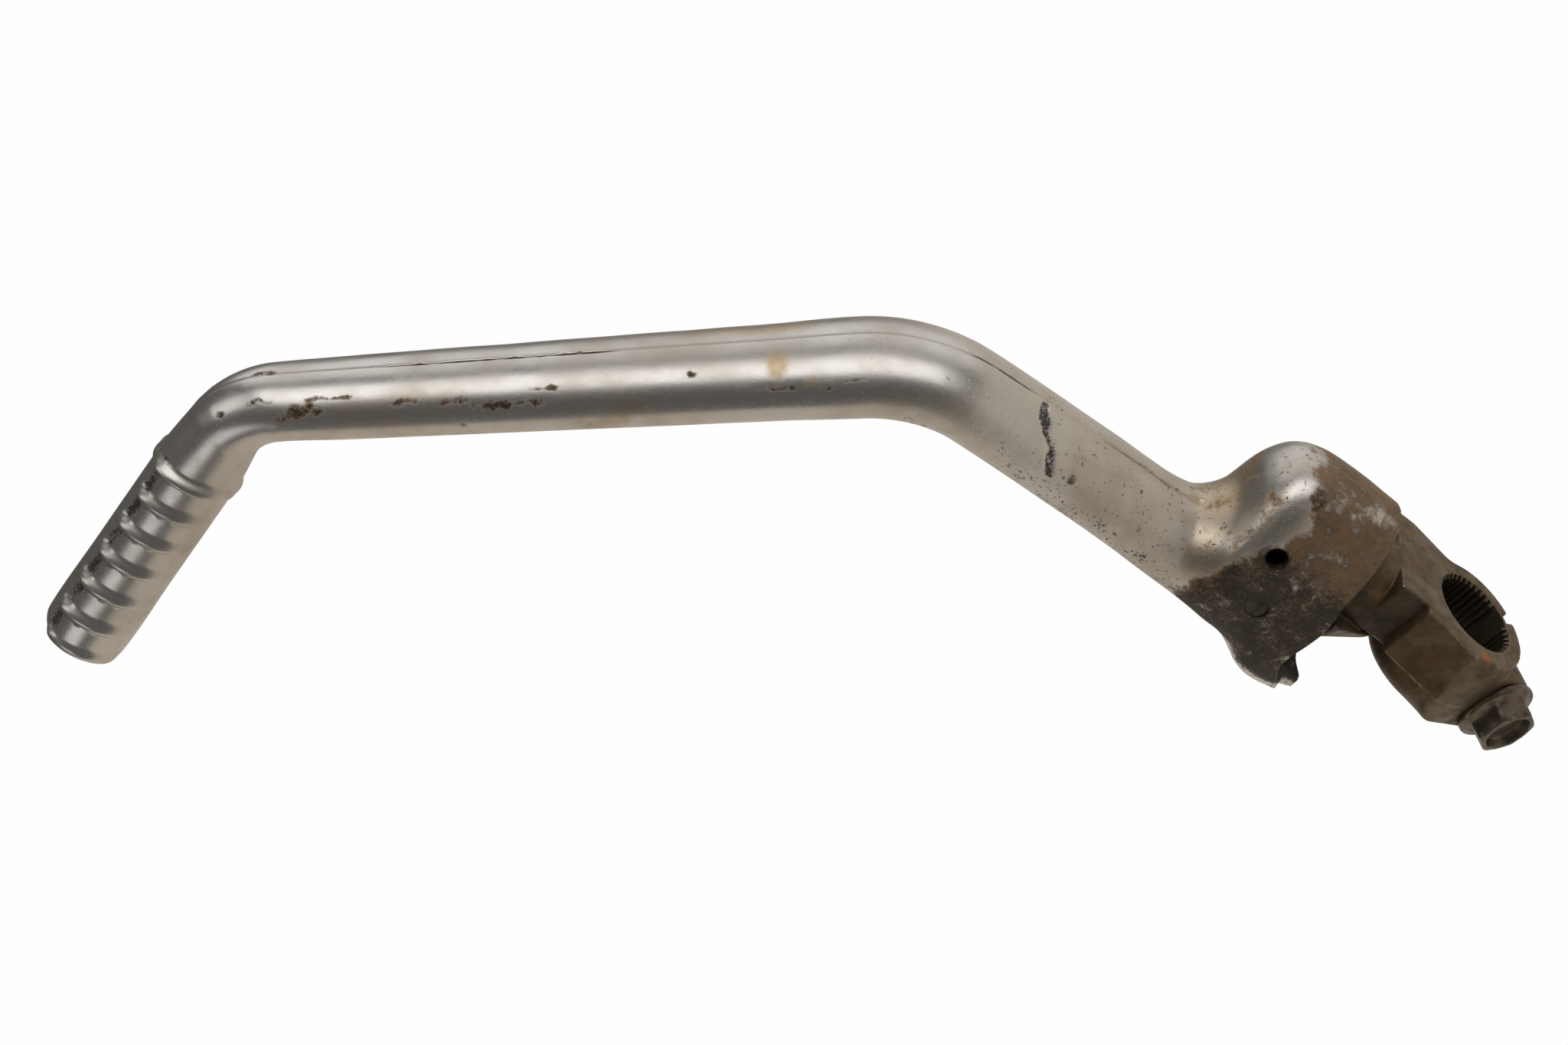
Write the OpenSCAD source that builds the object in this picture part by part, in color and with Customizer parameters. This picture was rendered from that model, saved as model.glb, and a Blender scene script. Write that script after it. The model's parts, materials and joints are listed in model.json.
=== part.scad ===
// Kick start lever: a hollow pressed lever that turns on the post of a clamped, splined hub.
// X runs out along the kick shaft, Z runs up the post, and Y is square to the lever's mid-plane.
// The origin is on the shaft's axis, halfway along the splined boss.

/* [Lever shell] */
// Wall of the two pressed halves
wall = 2; // [1.4:0.1:2.6]
// Thickness of the arm in its own plane, beside the foot piece
arm_thin = 14.2; // [12:0.2:16]
// Thickness of the arm in its own plane, above the knuckle
arm_thick = 17.4; // [15:0.2:19]
// Width of the arm square to its plane, beside the foot piece
arm_narrow = 19.6; // [18:0.2:22]
// Width of the arm square to its plane, above the knuckle
arm_wide = 25.8; // [23:0.2:28]
// Reach of the foot bend out from the post axis
foot_bend_x = 125.1; // [110:0.1:140]
// Height of the foot bend above the shaft axis
foot_bend_z = 221.5; // [200:0.1:240]
// Reach of the root bend out from the post axis
root_bend_x = 21.5; // [19:0.5:24]
// Height of the root bend above the shaft axis
root_bend_z = 127.7; // [118:0.1:140]
// Centreline radius of the root bend
root_bend_r = 34; // [26:1:44]
// Centreline radius of the foot bend
foot_bend_r = 15; // [12:1:18]

/* [Foot piece] */
// Length from the foot bend to the tip
foot_len = 73.5; // [66:0.5:90]
// Slope of the foot piece below the shaft's direction, in degrees
foot_drop = 13.3; // [5:0.1:25]
// Diameter over the ribs
foot_d = 18.4; // [17:0.2:21]
// Number of pressed ribs
rib_count = 7; // [4:1:8]
// Distance from one rib to the next
rib_pitch = 8.4; // [7:0.1:9]
// Height of a rib over the surface between ribs
rib_height = 1.1; // [0.5:0.1:1.4]
// Width of a rib at its foot
rib_width = 3.4; // [2.4:0.1:4.4]
// Distance from the tip to the last rib
tip_to_rib = 4.6; // [4.5:0.1:7]

/* [Knuckle] */
// Height of the open rim above the shaft axis
rim_z = 29.8; // [29:0.1:31]
// Depth of the lip below the rim, on the outer side
lip_drop = 14.6; // [8:0.2:15]
// How far the front cheek's rim steps down towards the lip
rim_step = 1.7; // [0.5:0.1:2.5]
// Room between the sleeve and the knuckle's wall on the engine side
knuckle_room = 3.4; // [2:0.1:5]
// Height of the knuckle's top above the shaft axis
knuckle_top = 57.8; // [56:0.2:62]
// Wall of the bearing sleeve in the knuckle
sleeve_wall = 2.1; // [1.4:0.1:2.4]
// Diameter of the retaining pin
pin_d = 4.9; // [4:0.1:5.4]
// Height of the retaining pin above the shaft axis
pin_z = 42.5; // [38:0.5:43]
// Diameter of the open detent hole in the front half
detent_hole_d = 4.9; // [4:0.1:5.6]
// Height of the detent above the shaft axis
detent_z = 48.6; // [48:0.1:49]

/* [Hub] */
// Diameter over the boss
boss_d = 26.4; // [25:0.2:29]
// Length of the boss along the shaft
boss_len = 21.2; // [19:0.2:25]
// Diameter at the tips of the inner splines
spline_tip_d = 18.4; // [17:0.1:19]
// Diameter at the roots of the inner splines
spline_root_d = 19.9; // [19.3:0.1:20.4]
// Number of splines
spline_count = 40; // [30:1:46]
// Diameter of the post that the lever turns on
post_d = 21.2; // [19:0.1:23]
// Width of the shoulder under the rim, outside the post
shoulder_w = 4.9; // [3.5:0.1:5.4]
// Height of the block's top above the shaft axis
block_top = 22; // [20:0.1:24]
// Reach of the block's milled front face
block_front = 10.2; // [9:0.1:11]
// Reach of the block's rear
block_rear = 15.2; // [13:0.1:16]
// How far the lever folds from the kicking position, in degrees
fold_range = 95; // [60:1:110]
// Turn of the clamp about the shaft, in degrees
clamp_turn = 34; // [25:1:42]
// Width of the clamping slit
slit_w = 2.4; // [1.6:0.1:3]
// Distance from the shaft axis to the bolt axis
bolt_offset = 13.4; // [13.2:0.1:14.5]
// Place of the bolt's axis along the shaft, out from the boss's middle
bolt_x = 2.4; // [0:0.1:3]
// Diameter of the lugs round the bolt
lug_d = 16.4; // [15.5:0.1:18.4]

/* [Pinch bolt] */
// Thread diameter of the bolt
bolt_d = 8; // [7.6:0.1:8.4]
// Width of the bolt's head across its flats
bolt_af = 12; // [11:0.1:13]
// Diameter of the flange under the head
flange_d = 17; // [15:0.1:18]
// Height of the head with its flange
head_h = 6.8; // [5.6:0.1:8]
// Length under the head
bolt_len = 23; // [20.5:0.5:25]

/* [Hidden] */
$fn = 64;

steel = [0.72, 0.70, 0.67];
cast = [0.40, 0.37, 0.32];
dark = [0.30, 0.29, 0.27];

// Clearances
fit_gap = 0.05;
seat_gap = 0.3;
rim_gap = 0.5;
cheek_room = 0.8;
over = 1;

// The sleeve goes round the post and the knuckle goes round the sleeve
sleeve_d = post_d + 2 * (fit_gap + sleeve_wall);
knuckle_w = sleeve_d + 2 * (cheek_room + wall);
knuckle_in = sleeve_d / 2 + wall + knuckle_room;

// The post ends above the detent, and a quarter of the pin's diameter lies outside the post
post_over_detent = 3.9;
post_top = detent_z + post_over_detent;
pin_x = post_d / 2 + pin_d / 4;

// Lever rails. Each station of the lever is a pair of points in the XZ plane, one on the outer rail
// and one on the inner rail, with a half width, a squareness and a share of the rim's outline.
// The straight root of the arm ends at root_foot, above the knuckle.
foot_dir = 180 - foot_drop;
mid_dir = 180 + atan2(foot_bend_z - root_bend_z, foot_bend_x - root_bend_x);
root_foot_x = 18.2;
root_foot_z = 72;
root_dir = 180 + atan2(root_bend_z - root_foot_z, root_bend_x - root_foot_x);
foot_bend = [foot_bend_x, foot_bend_z];
root_bend = [root_bend_x, root_bend_z];
foot_r = foot_d / 2;
dome_len = 6.4;
dome_steps = 5;
bend_steps = 6;

function unit(a) = [cos(a), sin(a)];
function left(a) = [-sin(a), cos(a)];
function lerp(a, b, t) = a + (b - a) * t;
function smooth(t) = let (u = min(1, max(0, t))) u * u * (3 - 2 * u);

// One station from a centre, a direction, a half thickness and a half width
function station(c, a, h, w) = [c + left(a) * h, c - left(a) * h, w, 2, 0];

// Stations along the foot piece, by their distance from the tip
foot_at = function (s) foot_bend - unit(foot_dir) * (foot_len - s);
rib_at = function (i) tip_to_rib + i * rib_pitch;
function dome_share(s) = s >= dome_len ? 1 : sqrt(1 - pow(1 - s / dome_len, 2));
function foot_station(s, h, w) = station(foot_at(s), foot_dir, h * dome_share(s), w * dome_share(s));
low_r = foot_r - rib_height;
seam_r = foot_r - 0.2;
// The last rib before the bend is a collar that stands proud all round
collar_rib = 0.7;
rib_profile = [-1, -0.45, 0, 0.45, 1];
first_rib_from = 2.4;
dome = [for (i = [1 : dome_steps - 2]) let (s = dome_len * (1 - cos(90 * i / dome_steps)))
    foot_station(s, foot_r, low_r + rib_height * 0.4)];
ribs = [for (i = [0 : rib_count - 1], k = rib_profile)
    let (up = 1 - abs(k), proud = i == rib_count - 1 ? collar_rib * up : 0)
    if (rib_at(i) + k * rib_width / 2 > first_rib_from)
    foot_station(rib_at(i) + k * rib_width / 2, seam_r + proud,
                 low_r + rib_height * smooth(up) + proud)];

// Stations round the two bends and between them
foot_tangent = foot_bend_r * tan((mid_dir - foot_dir) / 2);
root_tangent = root_bend_r * tan((root_dir - mid_dir) / 2);
mid_len = norm(foot_bend - root_bend);
function mid_h(s) = lerp(arm_thin, arm_thick, s / mid_len) / 2;
function mid_w(s) = lerp(arm_narrow, arm_wide, s / mid_len) / 2;
function bend_point(corner, a0, a1, r, tangent, t) =
    let (a = lerp(a0, a1, t), hub = corner - unit(a0) * tangent + left(a0) * r) hub - left(a) * r;
foot_turn = [for (i = [0 : bend_steps]) let (t = i / bend_steps)
    station(bend_point(foot_bend, foot_dir, mid_dir, foot_bend_r, foot_tangent, t),
            lerp(foot_dir, mid_dir, t), lerp(low_r, mid_h(foot_tangent), t),
            lerp(low_r, mid_w(foot_tangent), t))];
mid_steps = 4;
middle = [for (i = [1 : mid_steps - 1])
    let (s = lerp(foot_tangent, mid_len - root_tangent, i / mid_steps))
    station(foot_bend + unit(mid_dir) * s, mid_dir, mid_h(s), mid_w(s))];
root_turn = [for (i = [0 : bend_steps]) let (t = i / bend_steps)
    station(bend_point(root_bend, mid_dir, root_dir, root_bend_r, root_tangent, t),
            lerp(mid_dir, root_dir, t), arm_thick / 2, arm_wide / 2)];

// Stations down the knuckle, from the root of the arm to the rim. Each row gives both rails by their
// offsets from the arm's faces, the knuckle's top, its inner wall and the rim.
outer_x = root_foot_x + arm_thick / 2;
top_z = knuckle_top;
half_k = knuckle_w / 2;
half_a = arm_wide / 2;
function knuckle(ox, oz, ix, iz, share, square) =
    [[ox, oz], [ix, iz], lerp(half_a, half_k, share), square, 0];
inner_x = outer_x - arm_thick;
knuckle_rings = [
    knuckle(outer_x + 0.4, top_z + 23, inner_x + 0.5, top_z + 23, 0, 2),
    knuckle(outer_x, top_z + 12, inner_x, top_z + 10.5, 0.02, 2),
    knuckle(outer_x, top_z + 3, inner_x - 1.2, top_z + 4.6, 0.06, 2.02),
    knuckle(outer_x, top_z - 3, inner_x - 4.6, top_z + 1.2, 0.2, 2.1),
    knuckle(outer_x, top_z - 8, 0, top_z - 0.2, 0.42, 2.2),
    knuckle(outer_x, top_z - 12, -5.5, top_z, 0.66, 2.35),
    knuckle(outer_x, top_z - 15, -knuckle_in + 9.5, top_z - 0.4, 0.82, 2.45),
    knuckle(outer_x + 0.1, top_z - 17.5, -knuckle_in + 5, top_z - 2.2, 0.92, 2.45),
    knuckle(outer_x + 0.6, top_z - 20, -knuckle_in + 1.9, top_z - 6, 0.97, 2.4),
    knuckle(outer_x + 1.6, top_z - 22.5, -knuckle_in + 0.6, top_z - 11, 0.99, 2.35),
    knuckle(outer_x + 3, top_z - 25.4, -knuckle_in + 0.2, top_z - 16.5, 1, 2.3),
    knuckle(outer_x + 4.4, top_z - 29, -knuckle_in, rim_z + 6.5, 1, 2.2)];
lip_out = 4.2;
rim_low = outer_x + lip_out;
function with_rim(st, share) = [st[0], st[1], st[2], st[3], share];
rim_rings = [
    with_rim(knuckle(rim_low + 1, top_z - 28.8, -knuckle_in, rim_z + 4, 1, 2.15), 0.55),
    with_rim(knuckle(rim_low, rim_z - lip_drop, -knuckle_in, rim_z, 1, 2.1), 1)];

stations = concat(dome, ribs, foot_turn, middle, root_turn, knuckle_rings, rim_rings);
count = len(stations);

// Height of the rim over a point at x. The front cheek's rim steps down and then curves down to the
// lip, and the rear cheek keeps a deep skirt beside the lip.
step_from = -3;
step_run = 11;
lip_from = 15;
lip_curve = 2.2;
skirt_from = 18;
skirt_run = 9.5;
function lip_share(x) = max(0, (x - lip_from) / (rim_low - lip_from));
function rim_height(x, front) = front
    ? rim_z - rim_step * smooth((x - step_from) / step_run)
        - (lip_drop - rim_step) * pow(lip_share(x), lip_curve)
    : rim_z - lip_drop * smooth((x - skirt_from) / skirt_run);

// The cavity's rails lie one wall inside the outer ones, square to each rail
function rail_dir(side, k) =
    let (a = stations[max(0, k - 1)][side], b = stations[min(count - 1, k + 1)][side])
    (b - a) / norm(b - a);
function inset(side, k) = let (d = rail_dir(side, k), s = side == 0 ? 1 : -1)
    stations[k][side] + [d[1], -d[0]] * wall * s;

arc_steps = 16;
function power(v, n) = sign(v) * pow(abs(v), 2 / n);
function ring_point(o, i, w, n, share, f, front) =
    let (p = lerp(i, o, (1 + power(cos(f), n)) / 2))
    [p[0], w * power(sin(f), n), lerp(p[1], rim_height(p[0], front), share)];
function outer_ring(k, front) = let (s = stations[k]) [for (j = [0 : arc_steps])
    ring_point(s[0], s[1], s[2], s[3], s[4], 180 - 180 * j / arc_steps, front)];
function cavity_ring(k, front) = let (s = stations[k]) [for (j = [0 : arc_steps])
    ring_point(inset(0, k), inset(1, k), s[2] - wall, s[3], s[4], 180 - 180 * j / arc_steps, front)];

// One pressed half as a closed shell: outer skin, cavity skin, flat seam edges and the open rim
cavity_from = 4;
row = arc_steps + 1;
tip = foot_at(0);
cavity_tip = foot_at(wall);
function half_points(front) = concat(
    [for (k = [0 : count - 1]) each outer_ring(k, front)],
    [for (k = [cavity_from : count - 1]) each cavity_ring(k, front)],
    [[tip[0], 0, tip[1]], [cavity_tip[0], 0, cavity_tip[1]]]);
function out(k, j) = k * row + j;
function cav(k, j) = count * row + (k - cavity_from) * row + j;
tip_id = count * row + (count - cavity_from) * row;
cav_id = tip_id + 1;
last = count - 1;
half_faces = concat(
    [for (j = [0 : arc_steps - 1]) [tip_id, out(0, j), out(0, j + 1)]],
    [for (k = [0 : last - 1], j = [0 : arc_steps - 1]) [out(k, j), out(k + 1, j), out(k + 1, j + 1)]],
    [for (k = [0 : last - 1], j = [0 : arc_steps - 1]) [out(k, j), out(k + 1, j + 1), out(k, j + 1)]],
    [for (j = [0 : arc_steps - 1]) [cav_id, cav(cavity_from, j + 1), cav(cavity_from, j)]],
    [for (k = [cavity_from : last - 1], j = [0 : arc_steps - 1]) each
        [[cav(k, j), cav(k + 1, j + 1), cav(k + 1, j)], [cav(k, j), cav(k, j + 1), cav(k + 1, j + 1)]]],
    [for (j = [0 : arc_steps - 1]) each [[out(last, j), cav(last, j), cav(last, j + 1)],
                                        [out(last, j), cav(last, j + 1), out(last, j + 1)]]],
    [for (k = [cavity_from : last - 1]) each [[out(k, 0), cav(k, 0), cav(k + 1, 0)],
                                             [out(k, 0), cav(k + 1, 0), out(k + 1, 0)]]],
    [for (k = [cavity_from : last - 1]) each
        [[out(k, arc_steps), cav(k + 1, arc_steps), cav(k, arc_steps)],
         [out(k, arc_steps), out(k + 1, arc_steps), cav(k + 1, arc_steps)]]],
    [for (k = [0 : cavity_from - 1]) each [[cav_id, out(k + 1, 0), out(k, 0)],
                                          [cav_id, out(k, arc_steps), out(k + 1, arc_steps)]]],
    [[cav_id, out(0, 0), tip_id], [cav_id, tip_id, out(0, arc_steps)],
     [cav_id, cav(cavity_from, 0), out(cavity_from, 0)],
     [cav_id, out(cavity_from, arc_steps), cav(cavity_from, arc_steps)]]);

module along_y(r, from, to) {
    translate([0, to, 0])
        rotate([90, 0, 0])
            cylinder(r = r, h = to - from);
}

module pressed_half(front) {
    difference() {
        polyhedron(points = half_points(front), faces = half_faces, convexity = 8);
        translate([pin_x, 0, pin_z])
            along_y(pin_d / 2, over, knuckle_w);
    }
}

module lever_front_half() {
    color(steel)
        difference() {
            pressed_half(true);
            translate([0, 0, detent_z])
                along_y(detent_hole_d / 2, over, knuckle_w);
        }
}

module lever_rear_half() {
    color(steel)
        mirror([0, 1, 0])
            pressed_half(false);
}

// Sleeve that the post turns in, held by the two halves
sleeve_low = rim_z + seat_gap;
sleeve_top = post_top - 1.2;
sleeve_taper = 6;
sleeve_draw = 1.2 * sleeve_wall;
// The ball clicks into a shallow dimple in the sleeve
dimple_r = 2.6;
dimple_in = 0.26;
module bearing_sleeve() {
    color(dark)
        difference() {
            union() {
                translate([0, 0, sleeve_low])
                    cylinder(d = sleeve_d, h = sleeve_top - sleeve_taper - sleeve_low);
                translate([0, 0, sleeve_top - sleeve_taper])
                    cylinder(d1 = sleeve_d, d2 = sleeve_d - sleeve_draw, h = sleeve_taper);
            }
            translate([0, 0, sleeve_low - over])
                cylinder(d = post_d + 2 * fit_gap, h = sleeve_top - sleeve_low + 2 * over);
            translate([pin_x, 0, pin_z])
                along_y(pin_d / 2, -sleeve_d, sleeve_d);
            translate([0, 0, detent_z])
                along_y(detent_hole_d / 2, over, sleeve_d);
            translate([-post_d / 2 - dimple_in, 0, detent_z])
                sphere(r = dimple_r);
        }
}

// The retaining pin lies across the post in its groove, flush with both cheeks
pin_sink = 0.9;
pin_half = half_k - pin_sink;
module retaining_pin() {
    color(dark)
        translate([pin_x, 0, pin_z])
            along_y(pin_d / 2, -pin_half, pin_half);
}

// Hub
boss_half = boss_len / 2;
collar_top = rim_z - rim_step - rim_gap;

// Groove in the post that the pin runs in, a little longer than the fold needs
groove_r = pin_x - pin_d / 2 - 3 * fit_gap;
groove_reach = acos(groove_r / (post_d / 2)) + 3;
groove_h = pin_d + 4 * fit_gap;

// Detent ball in its cross bore
ball_d = 6;
ball_bore_r = ball_d / 2 + 0.1;
ball_x = -post_d / 2 + ball_d / 2 + fit_gap;
ball_bore_depth = post_d * 0.68;

// The block is milled flat in front, above the ledge and up to block_out along the shaft
ledge_z = 14.2;
block_out = 4;
front_bulge = 1.2;
block_flare = 2.4;
waist_z = 6;
waist_in = 1.6;
outer_round = 7;

// Shoulder under the rim, and the lugs on both sides of the slit
shoulder_d = post_d + 2 * shoulder_w;
shoulder_low = 16.4;
shoulder_h = 4.6;
lug_low = 10.5;
bolt_seat = 13.4;

// Outline of the hub seen along the shaft: a thick boss that rises into the block
module hub_profile() {
    boss_r = boss_d / 2;
    belly_r = boss_r + front_bulge;
    circle(r = boss_r);
    translate([front_bulge, 0])
        circle(r = boss_r);
    polygon([[0, 0], [belly_r, 0], [belly_r - 0.3, ledge_z - 6],
             [block_front + block_flare, ledge_z], [block_front + 1.6, block_top],
             [-block_rear, block_top], [-block_rear, block_top - 5], [waist_in - boss_r, waist_z]]);
}

// Barrel that rounds the hub's outer end
module hub_barrel() {
    ring_r = boss_d / 2 + front_bulge - outer_round;
    translate([-boss_half, 0, 0])
        rotate([0, 90, 0])
            rotate_extrude()
                union() {
                    square([ring_r, boss_len]);
                    square([boss_d, boss_len - outer_round]);
                    translate([ring_r, boss_len - outer_round])
                        intersection() {
                            circle(r = outer_round);
                            square(outer_round);
                        }
                }
}

// Shoulder under the rim, which the mill left on the outer side of the block only
module shoulder() {
    intersection() {
        union() {
            translate([0, 0, shoulder_low])
                cylinder(r1 = shoulder_d / 2 - 4, r2 = shoulder_d / 2, h = shoulder_h);
            translate([0, 0, shoulder_low + shoulder_h])
                cylinder(d = shoulder_d, h = collar_top - shoulder_low - shoulder_h);
        }
        translate([block_out, -shoulder_d, 0])
            cube([shoulder_d, 2 * shoulder_d, rim_z]);
    }
}

module along_x_yz(x0, x1) {
    translate([x0, 0, 0])
        rotate([90, 0, 90])
            linear_extrude(height = x1 - x0)
                children();
}

module clamp_frame() {
    rotate([180 - clamp_turn, 0, 0])
        children();
}

module spline_slot() {
    tip_w = PI * spline_tip_d / spline_count * 0.55;
    root_w = tip_w * 0.55;
    r0 = spline_tip_d / 2 - 0.6;
    r1 = spline_root_d / 2;
    along_x_yz(-boss_half - over, boss_half + over)
        polygon([[-tip_w / 2, r0], [tip_w / 2, r0], [root_w / 2, r1], [-root_w / 2, r1]]);
}

module lugs() {
    clamp_frame()
        translate([bolt_x, 0, bolt_offset])
            along_y(lug_d / 2, -bolt_seat, lug_low);
    clamp_frame()
        translate([bolt_x - lug_d / 2, -bolt_seat, 0])
            cube([lug_d, bolt_seat + lug_low, bolt_offset]);
}

module post() {
    difference() {
        translate([0, 0, block_top - over])
            cylinder(d = post_d, h = post_top - block_top + over);
        translate([0, 0, pin_z - groove_h / 2])
            rotate([0, 0, -groove_reach])
                rotate_extrude(angle = fold_range + 2 * groove_reach)
                    translate([groove_r, 0])
                        square([post_d, groove_h]);
        translate([-post_d / 2 - over, 0, detent_z])
            rotate([0, 90, 0])
                cylinder(r = ball_bore_r, h = ball_bore_depth + over);
    }
}

module hub() {
    color(cast)
        difference() {
            union() {
                intersection() {
                    along_x_yz(-boss_half, boss_half)
                        hub_profile();
                    hub_barrel();
                }
                shoulder();
                lugs();
                post();
            }
            translate([-boss_len, block_front, ledge_z])
                cube([boss_len + block_out, boss_len, block_top - ledge_z + over]);
            translate([-boss_half - over, 0, 0])
                rotate([0, 90, 0])
                    cylinder(d = spline_tip_d, h = boss_len + 2 * over);
            for (i = [0 : spline_count - 1])
                rotate([360 * i / spline_count, 0, 0])
                    spline_slot();
            clamp_frame()
                translate([-boss_len, -slit_w / 2, spline_tip_d / 2 - over])
                    cube([2 * boss_len, slit_w, boss_len]);
            clamp_frame()
                translate([bolt_x, 0, bolt_offset])
                    along_y(bolt_d / 2 + fit_gap, -bolt_seat - over, lug_low + over);
        }
}

// Bolt that closes the clamp, with a flanged and dished hexagon head
module pinch_bolt() {
    flange_h = 1.4;
    dish_r = bolt_af / 2 - 1.4;
    dish_h = 1.6;
    color(cast)
        clamp_frame()
            translate([bolt_x, -bolt_seat, bolt_offset])
                rotate([90, 0, 0])
                    difference() {
                        union() {
                            cylinder(d = flange_d, h = flange_h);
                            translate([0, 0, flange_h])
                                cylinder(d1 = flange_d - 1.4, d2 = bolt_af, h = 1.2);
                            cylinder(r = bolt_af / 2 / cos(30), h = head_h, $fn = 6);
                            translate([0, 0, -bolt_len])
                                cylinder(d = bolt_d, h = bolt_len + over);
                        }
                        translate([0, 0, head_h - dish_h])
                            cylinder(r1 = dish_r - 0.8, r2 = dish_r, h = dish_h + 0.01);
                    }
}

module detent_ball() {
    color(steel)
        translate([ball_x, 0, detent_z])
            sphere(d = ball_d);
}

// The spring fills the bore between the ball and the bore's blind end
spring_wire = 0.8;
spring_d = 5.4;
spring_from = ball_x + ball_d / 2 - 0.6;
spring_to = ball_bore_depth - post_d / 2;
spring_turns = 5;
coil_steps = 12;
wire_sides = 6;
module detent_spring() {
    coil_r = (spring_d - spring_wire) / 2;
    run = spring_to - spring_from - spring_wire - 0.1;
    steps = spring_turns * coil_steps;
    ring = function (i) let (a = 360 * i / coil_steps, x = run * i / steps)
        [for (k = [0 : wire_sides - 1]) let (b = 360 * k / wire_sides, r = coil_r + spring_wire / 2 * cos(b))
            [x + spring_wire / 2 * sin(b), r * cos(a), r * sin(a)]];
    pts = [for (i = [0 : steps]) each ring(i)];
    sides = [for (i = [0 : steps - 1], k = [0 : wire_sides - 1])
        let (m = (k + 1) % wire_sides, p = i * wire_sides)
        each [[p + k, p + m, p + wire_sides + m], [p + k, p + wire_sides + m, p + wire_sides + k]]];
    caps = [[for (k = [wire_sides - 1 : -1 : 0]) k],
            [for (k = [0 : wire_sides - 1]) steps * wire_sides + k]];
    color(steel)
        translate([spring_from + spring_wire / 2 + 0.05, 0, detent_z])
            polyhedron(points = pts, faces = concat(sides, caps));
}

lever_front_half();
lever_rear_half();
bearing_sleeve();
retaining_pin();
hub();
pinch_bolt();
detent_ball();
detent_spring();
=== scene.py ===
"""Kick start lever: two pressed, plated steel halves that fold on the post of a forged clamp hub.

Every shape is worked out with numpy in millimetres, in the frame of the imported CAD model, and is
put into Blender in metres. X runs out along the kick shaft, Z up the post, Y square to the lever.
"""

from __future__ import annotations

import json
import logging
from dataclasses import dataclass, field
from enum import Enum
from functools import cached_property
from typing import Sequence

import bpy
import numpy as np
from mathutils import Matrix, Vector

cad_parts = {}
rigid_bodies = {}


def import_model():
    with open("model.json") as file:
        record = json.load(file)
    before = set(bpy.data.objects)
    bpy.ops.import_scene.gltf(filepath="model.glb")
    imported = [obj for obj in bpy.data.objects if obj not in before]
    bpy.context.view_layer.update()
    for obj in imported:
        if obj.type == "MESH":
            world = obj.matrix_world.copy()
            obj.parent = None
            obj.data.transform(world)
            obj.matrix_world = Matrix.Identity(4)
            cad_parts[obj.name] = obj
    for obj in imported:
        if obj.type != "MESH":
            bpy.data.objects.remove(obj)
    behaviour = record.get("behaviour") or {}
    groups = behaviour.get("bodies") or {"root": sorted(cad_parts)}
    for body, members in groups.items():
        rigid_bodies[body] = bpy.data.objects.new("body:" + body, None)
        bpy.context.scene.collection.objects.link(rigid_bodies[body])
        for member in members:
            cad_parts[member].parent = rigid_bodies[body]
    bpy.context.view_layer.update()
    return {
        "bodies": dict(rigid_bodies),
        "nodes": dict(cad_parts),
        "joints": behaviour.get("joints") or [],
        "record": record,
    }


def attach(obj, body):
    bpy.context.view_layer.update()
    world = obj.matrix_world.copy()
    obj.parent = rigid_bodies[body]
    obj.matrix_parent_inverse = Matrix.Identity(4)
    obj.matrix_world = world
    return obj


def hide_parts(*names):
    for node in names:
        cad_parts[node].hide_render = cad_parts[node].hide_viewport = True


LOG = logging.getLogger("kick_start_lever")
MM = 0.001
Array = np.ndarray

# A stain's place in X, Y and Z, half its length along the arm, half its width, and how strong it is
Stain = tuple[float, float, float, float, float, float]
# Where a film lies, how far it reaches along X, Y and Z, and how strong it is
Film = tuple[tuple[float, float, float], tuple[float, float, float], float]
# A lamp's name, its offset and size in metres, and its watts
Lamp = tuple[str, tuple[float, float, float], tuple[float, float], float]


class Half(Enum):
    """The two pressings, by the side of the mid-plane that they lie on."""

    FRONT = 1
    REAR = -1


def smoothstep(value: Array | float, low: float, high: float) -> Array:
    """Return the cubic step 3t^2 - 2t^3 of a value between two limits.

    Args:
        value: The value or array of values.
        low: Where the step is 0.
        high: Where the step is 1.

    Returns:
        The step, from 0 to 1.
    """
    t = np.clip((np.asarray(value, dtype=float) - low) / (high - low), 0.0, 1.0)
    return t * t * (3.0 - 2.0 * t)


def bump(distance: Array) -> Array:
    """Return a smooth bump (1 - d^2)^2 that is 1 at 0 and 0 from 1 on."""
    return np.clip(1.0 - np.asarray(distance) ** 2, 0.0, 1.0) ** 2


def blob(points: Array, centre: Sequence[float], size: Sequence[float]) -> Array:
    """Return a soft spot exp(-d^2) round a place, where d counts in its size along each axis."""
    return np.exp(-np.sum(((points - np.array(centre)) / np.array(size)) ** 2, axis=1))


def smooth_channel(at: Array, keys: Array, values: Array) -> Array:
    """Carry values smoothly through their keys with no overshoot.

    The slopes are the harmonic means of the neighbouring chords, and each span is the cubic
    Hermite curve between its two keys.

    Args:
        at: Where the curve is wanted.
        keys: Rising places of the given values.
        values: One row of values at each key.

    Returns:
        One row of values for each place asked for.
    """
    step = np.diff(keys)[:, None]
    chord = np.diff(values, axis=0) / step
    before, after = chord[:-1], chord[1:]
    same_sign = before * after > 0
    slope = np.zeros_like(values)
    total = np.where(same_sign, before + after, 1.0)
    slope[1:-1] = np.where(same_sign, 2.0 * before * after / total, 0.0)
    slope[0], slope[-1] = chord[0], chord[-1]
    span = np.clip(np.searchsorted(keys, at, side="right") - 1, 0, len(keys) - 2)
    width = step[span]
    t = ((at - keys[span])[:, None]) / width
    left = (1 + 2 * t) * (1 - t) ** 2 * values[span] + t * (1 - t) ** 2 * width * slope[span]
    right = t**2 * (3 - 2 * t) * values[span + 1] + t**2 * (t - 1) * width * slope[span + 1]
    return left + right


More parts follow.
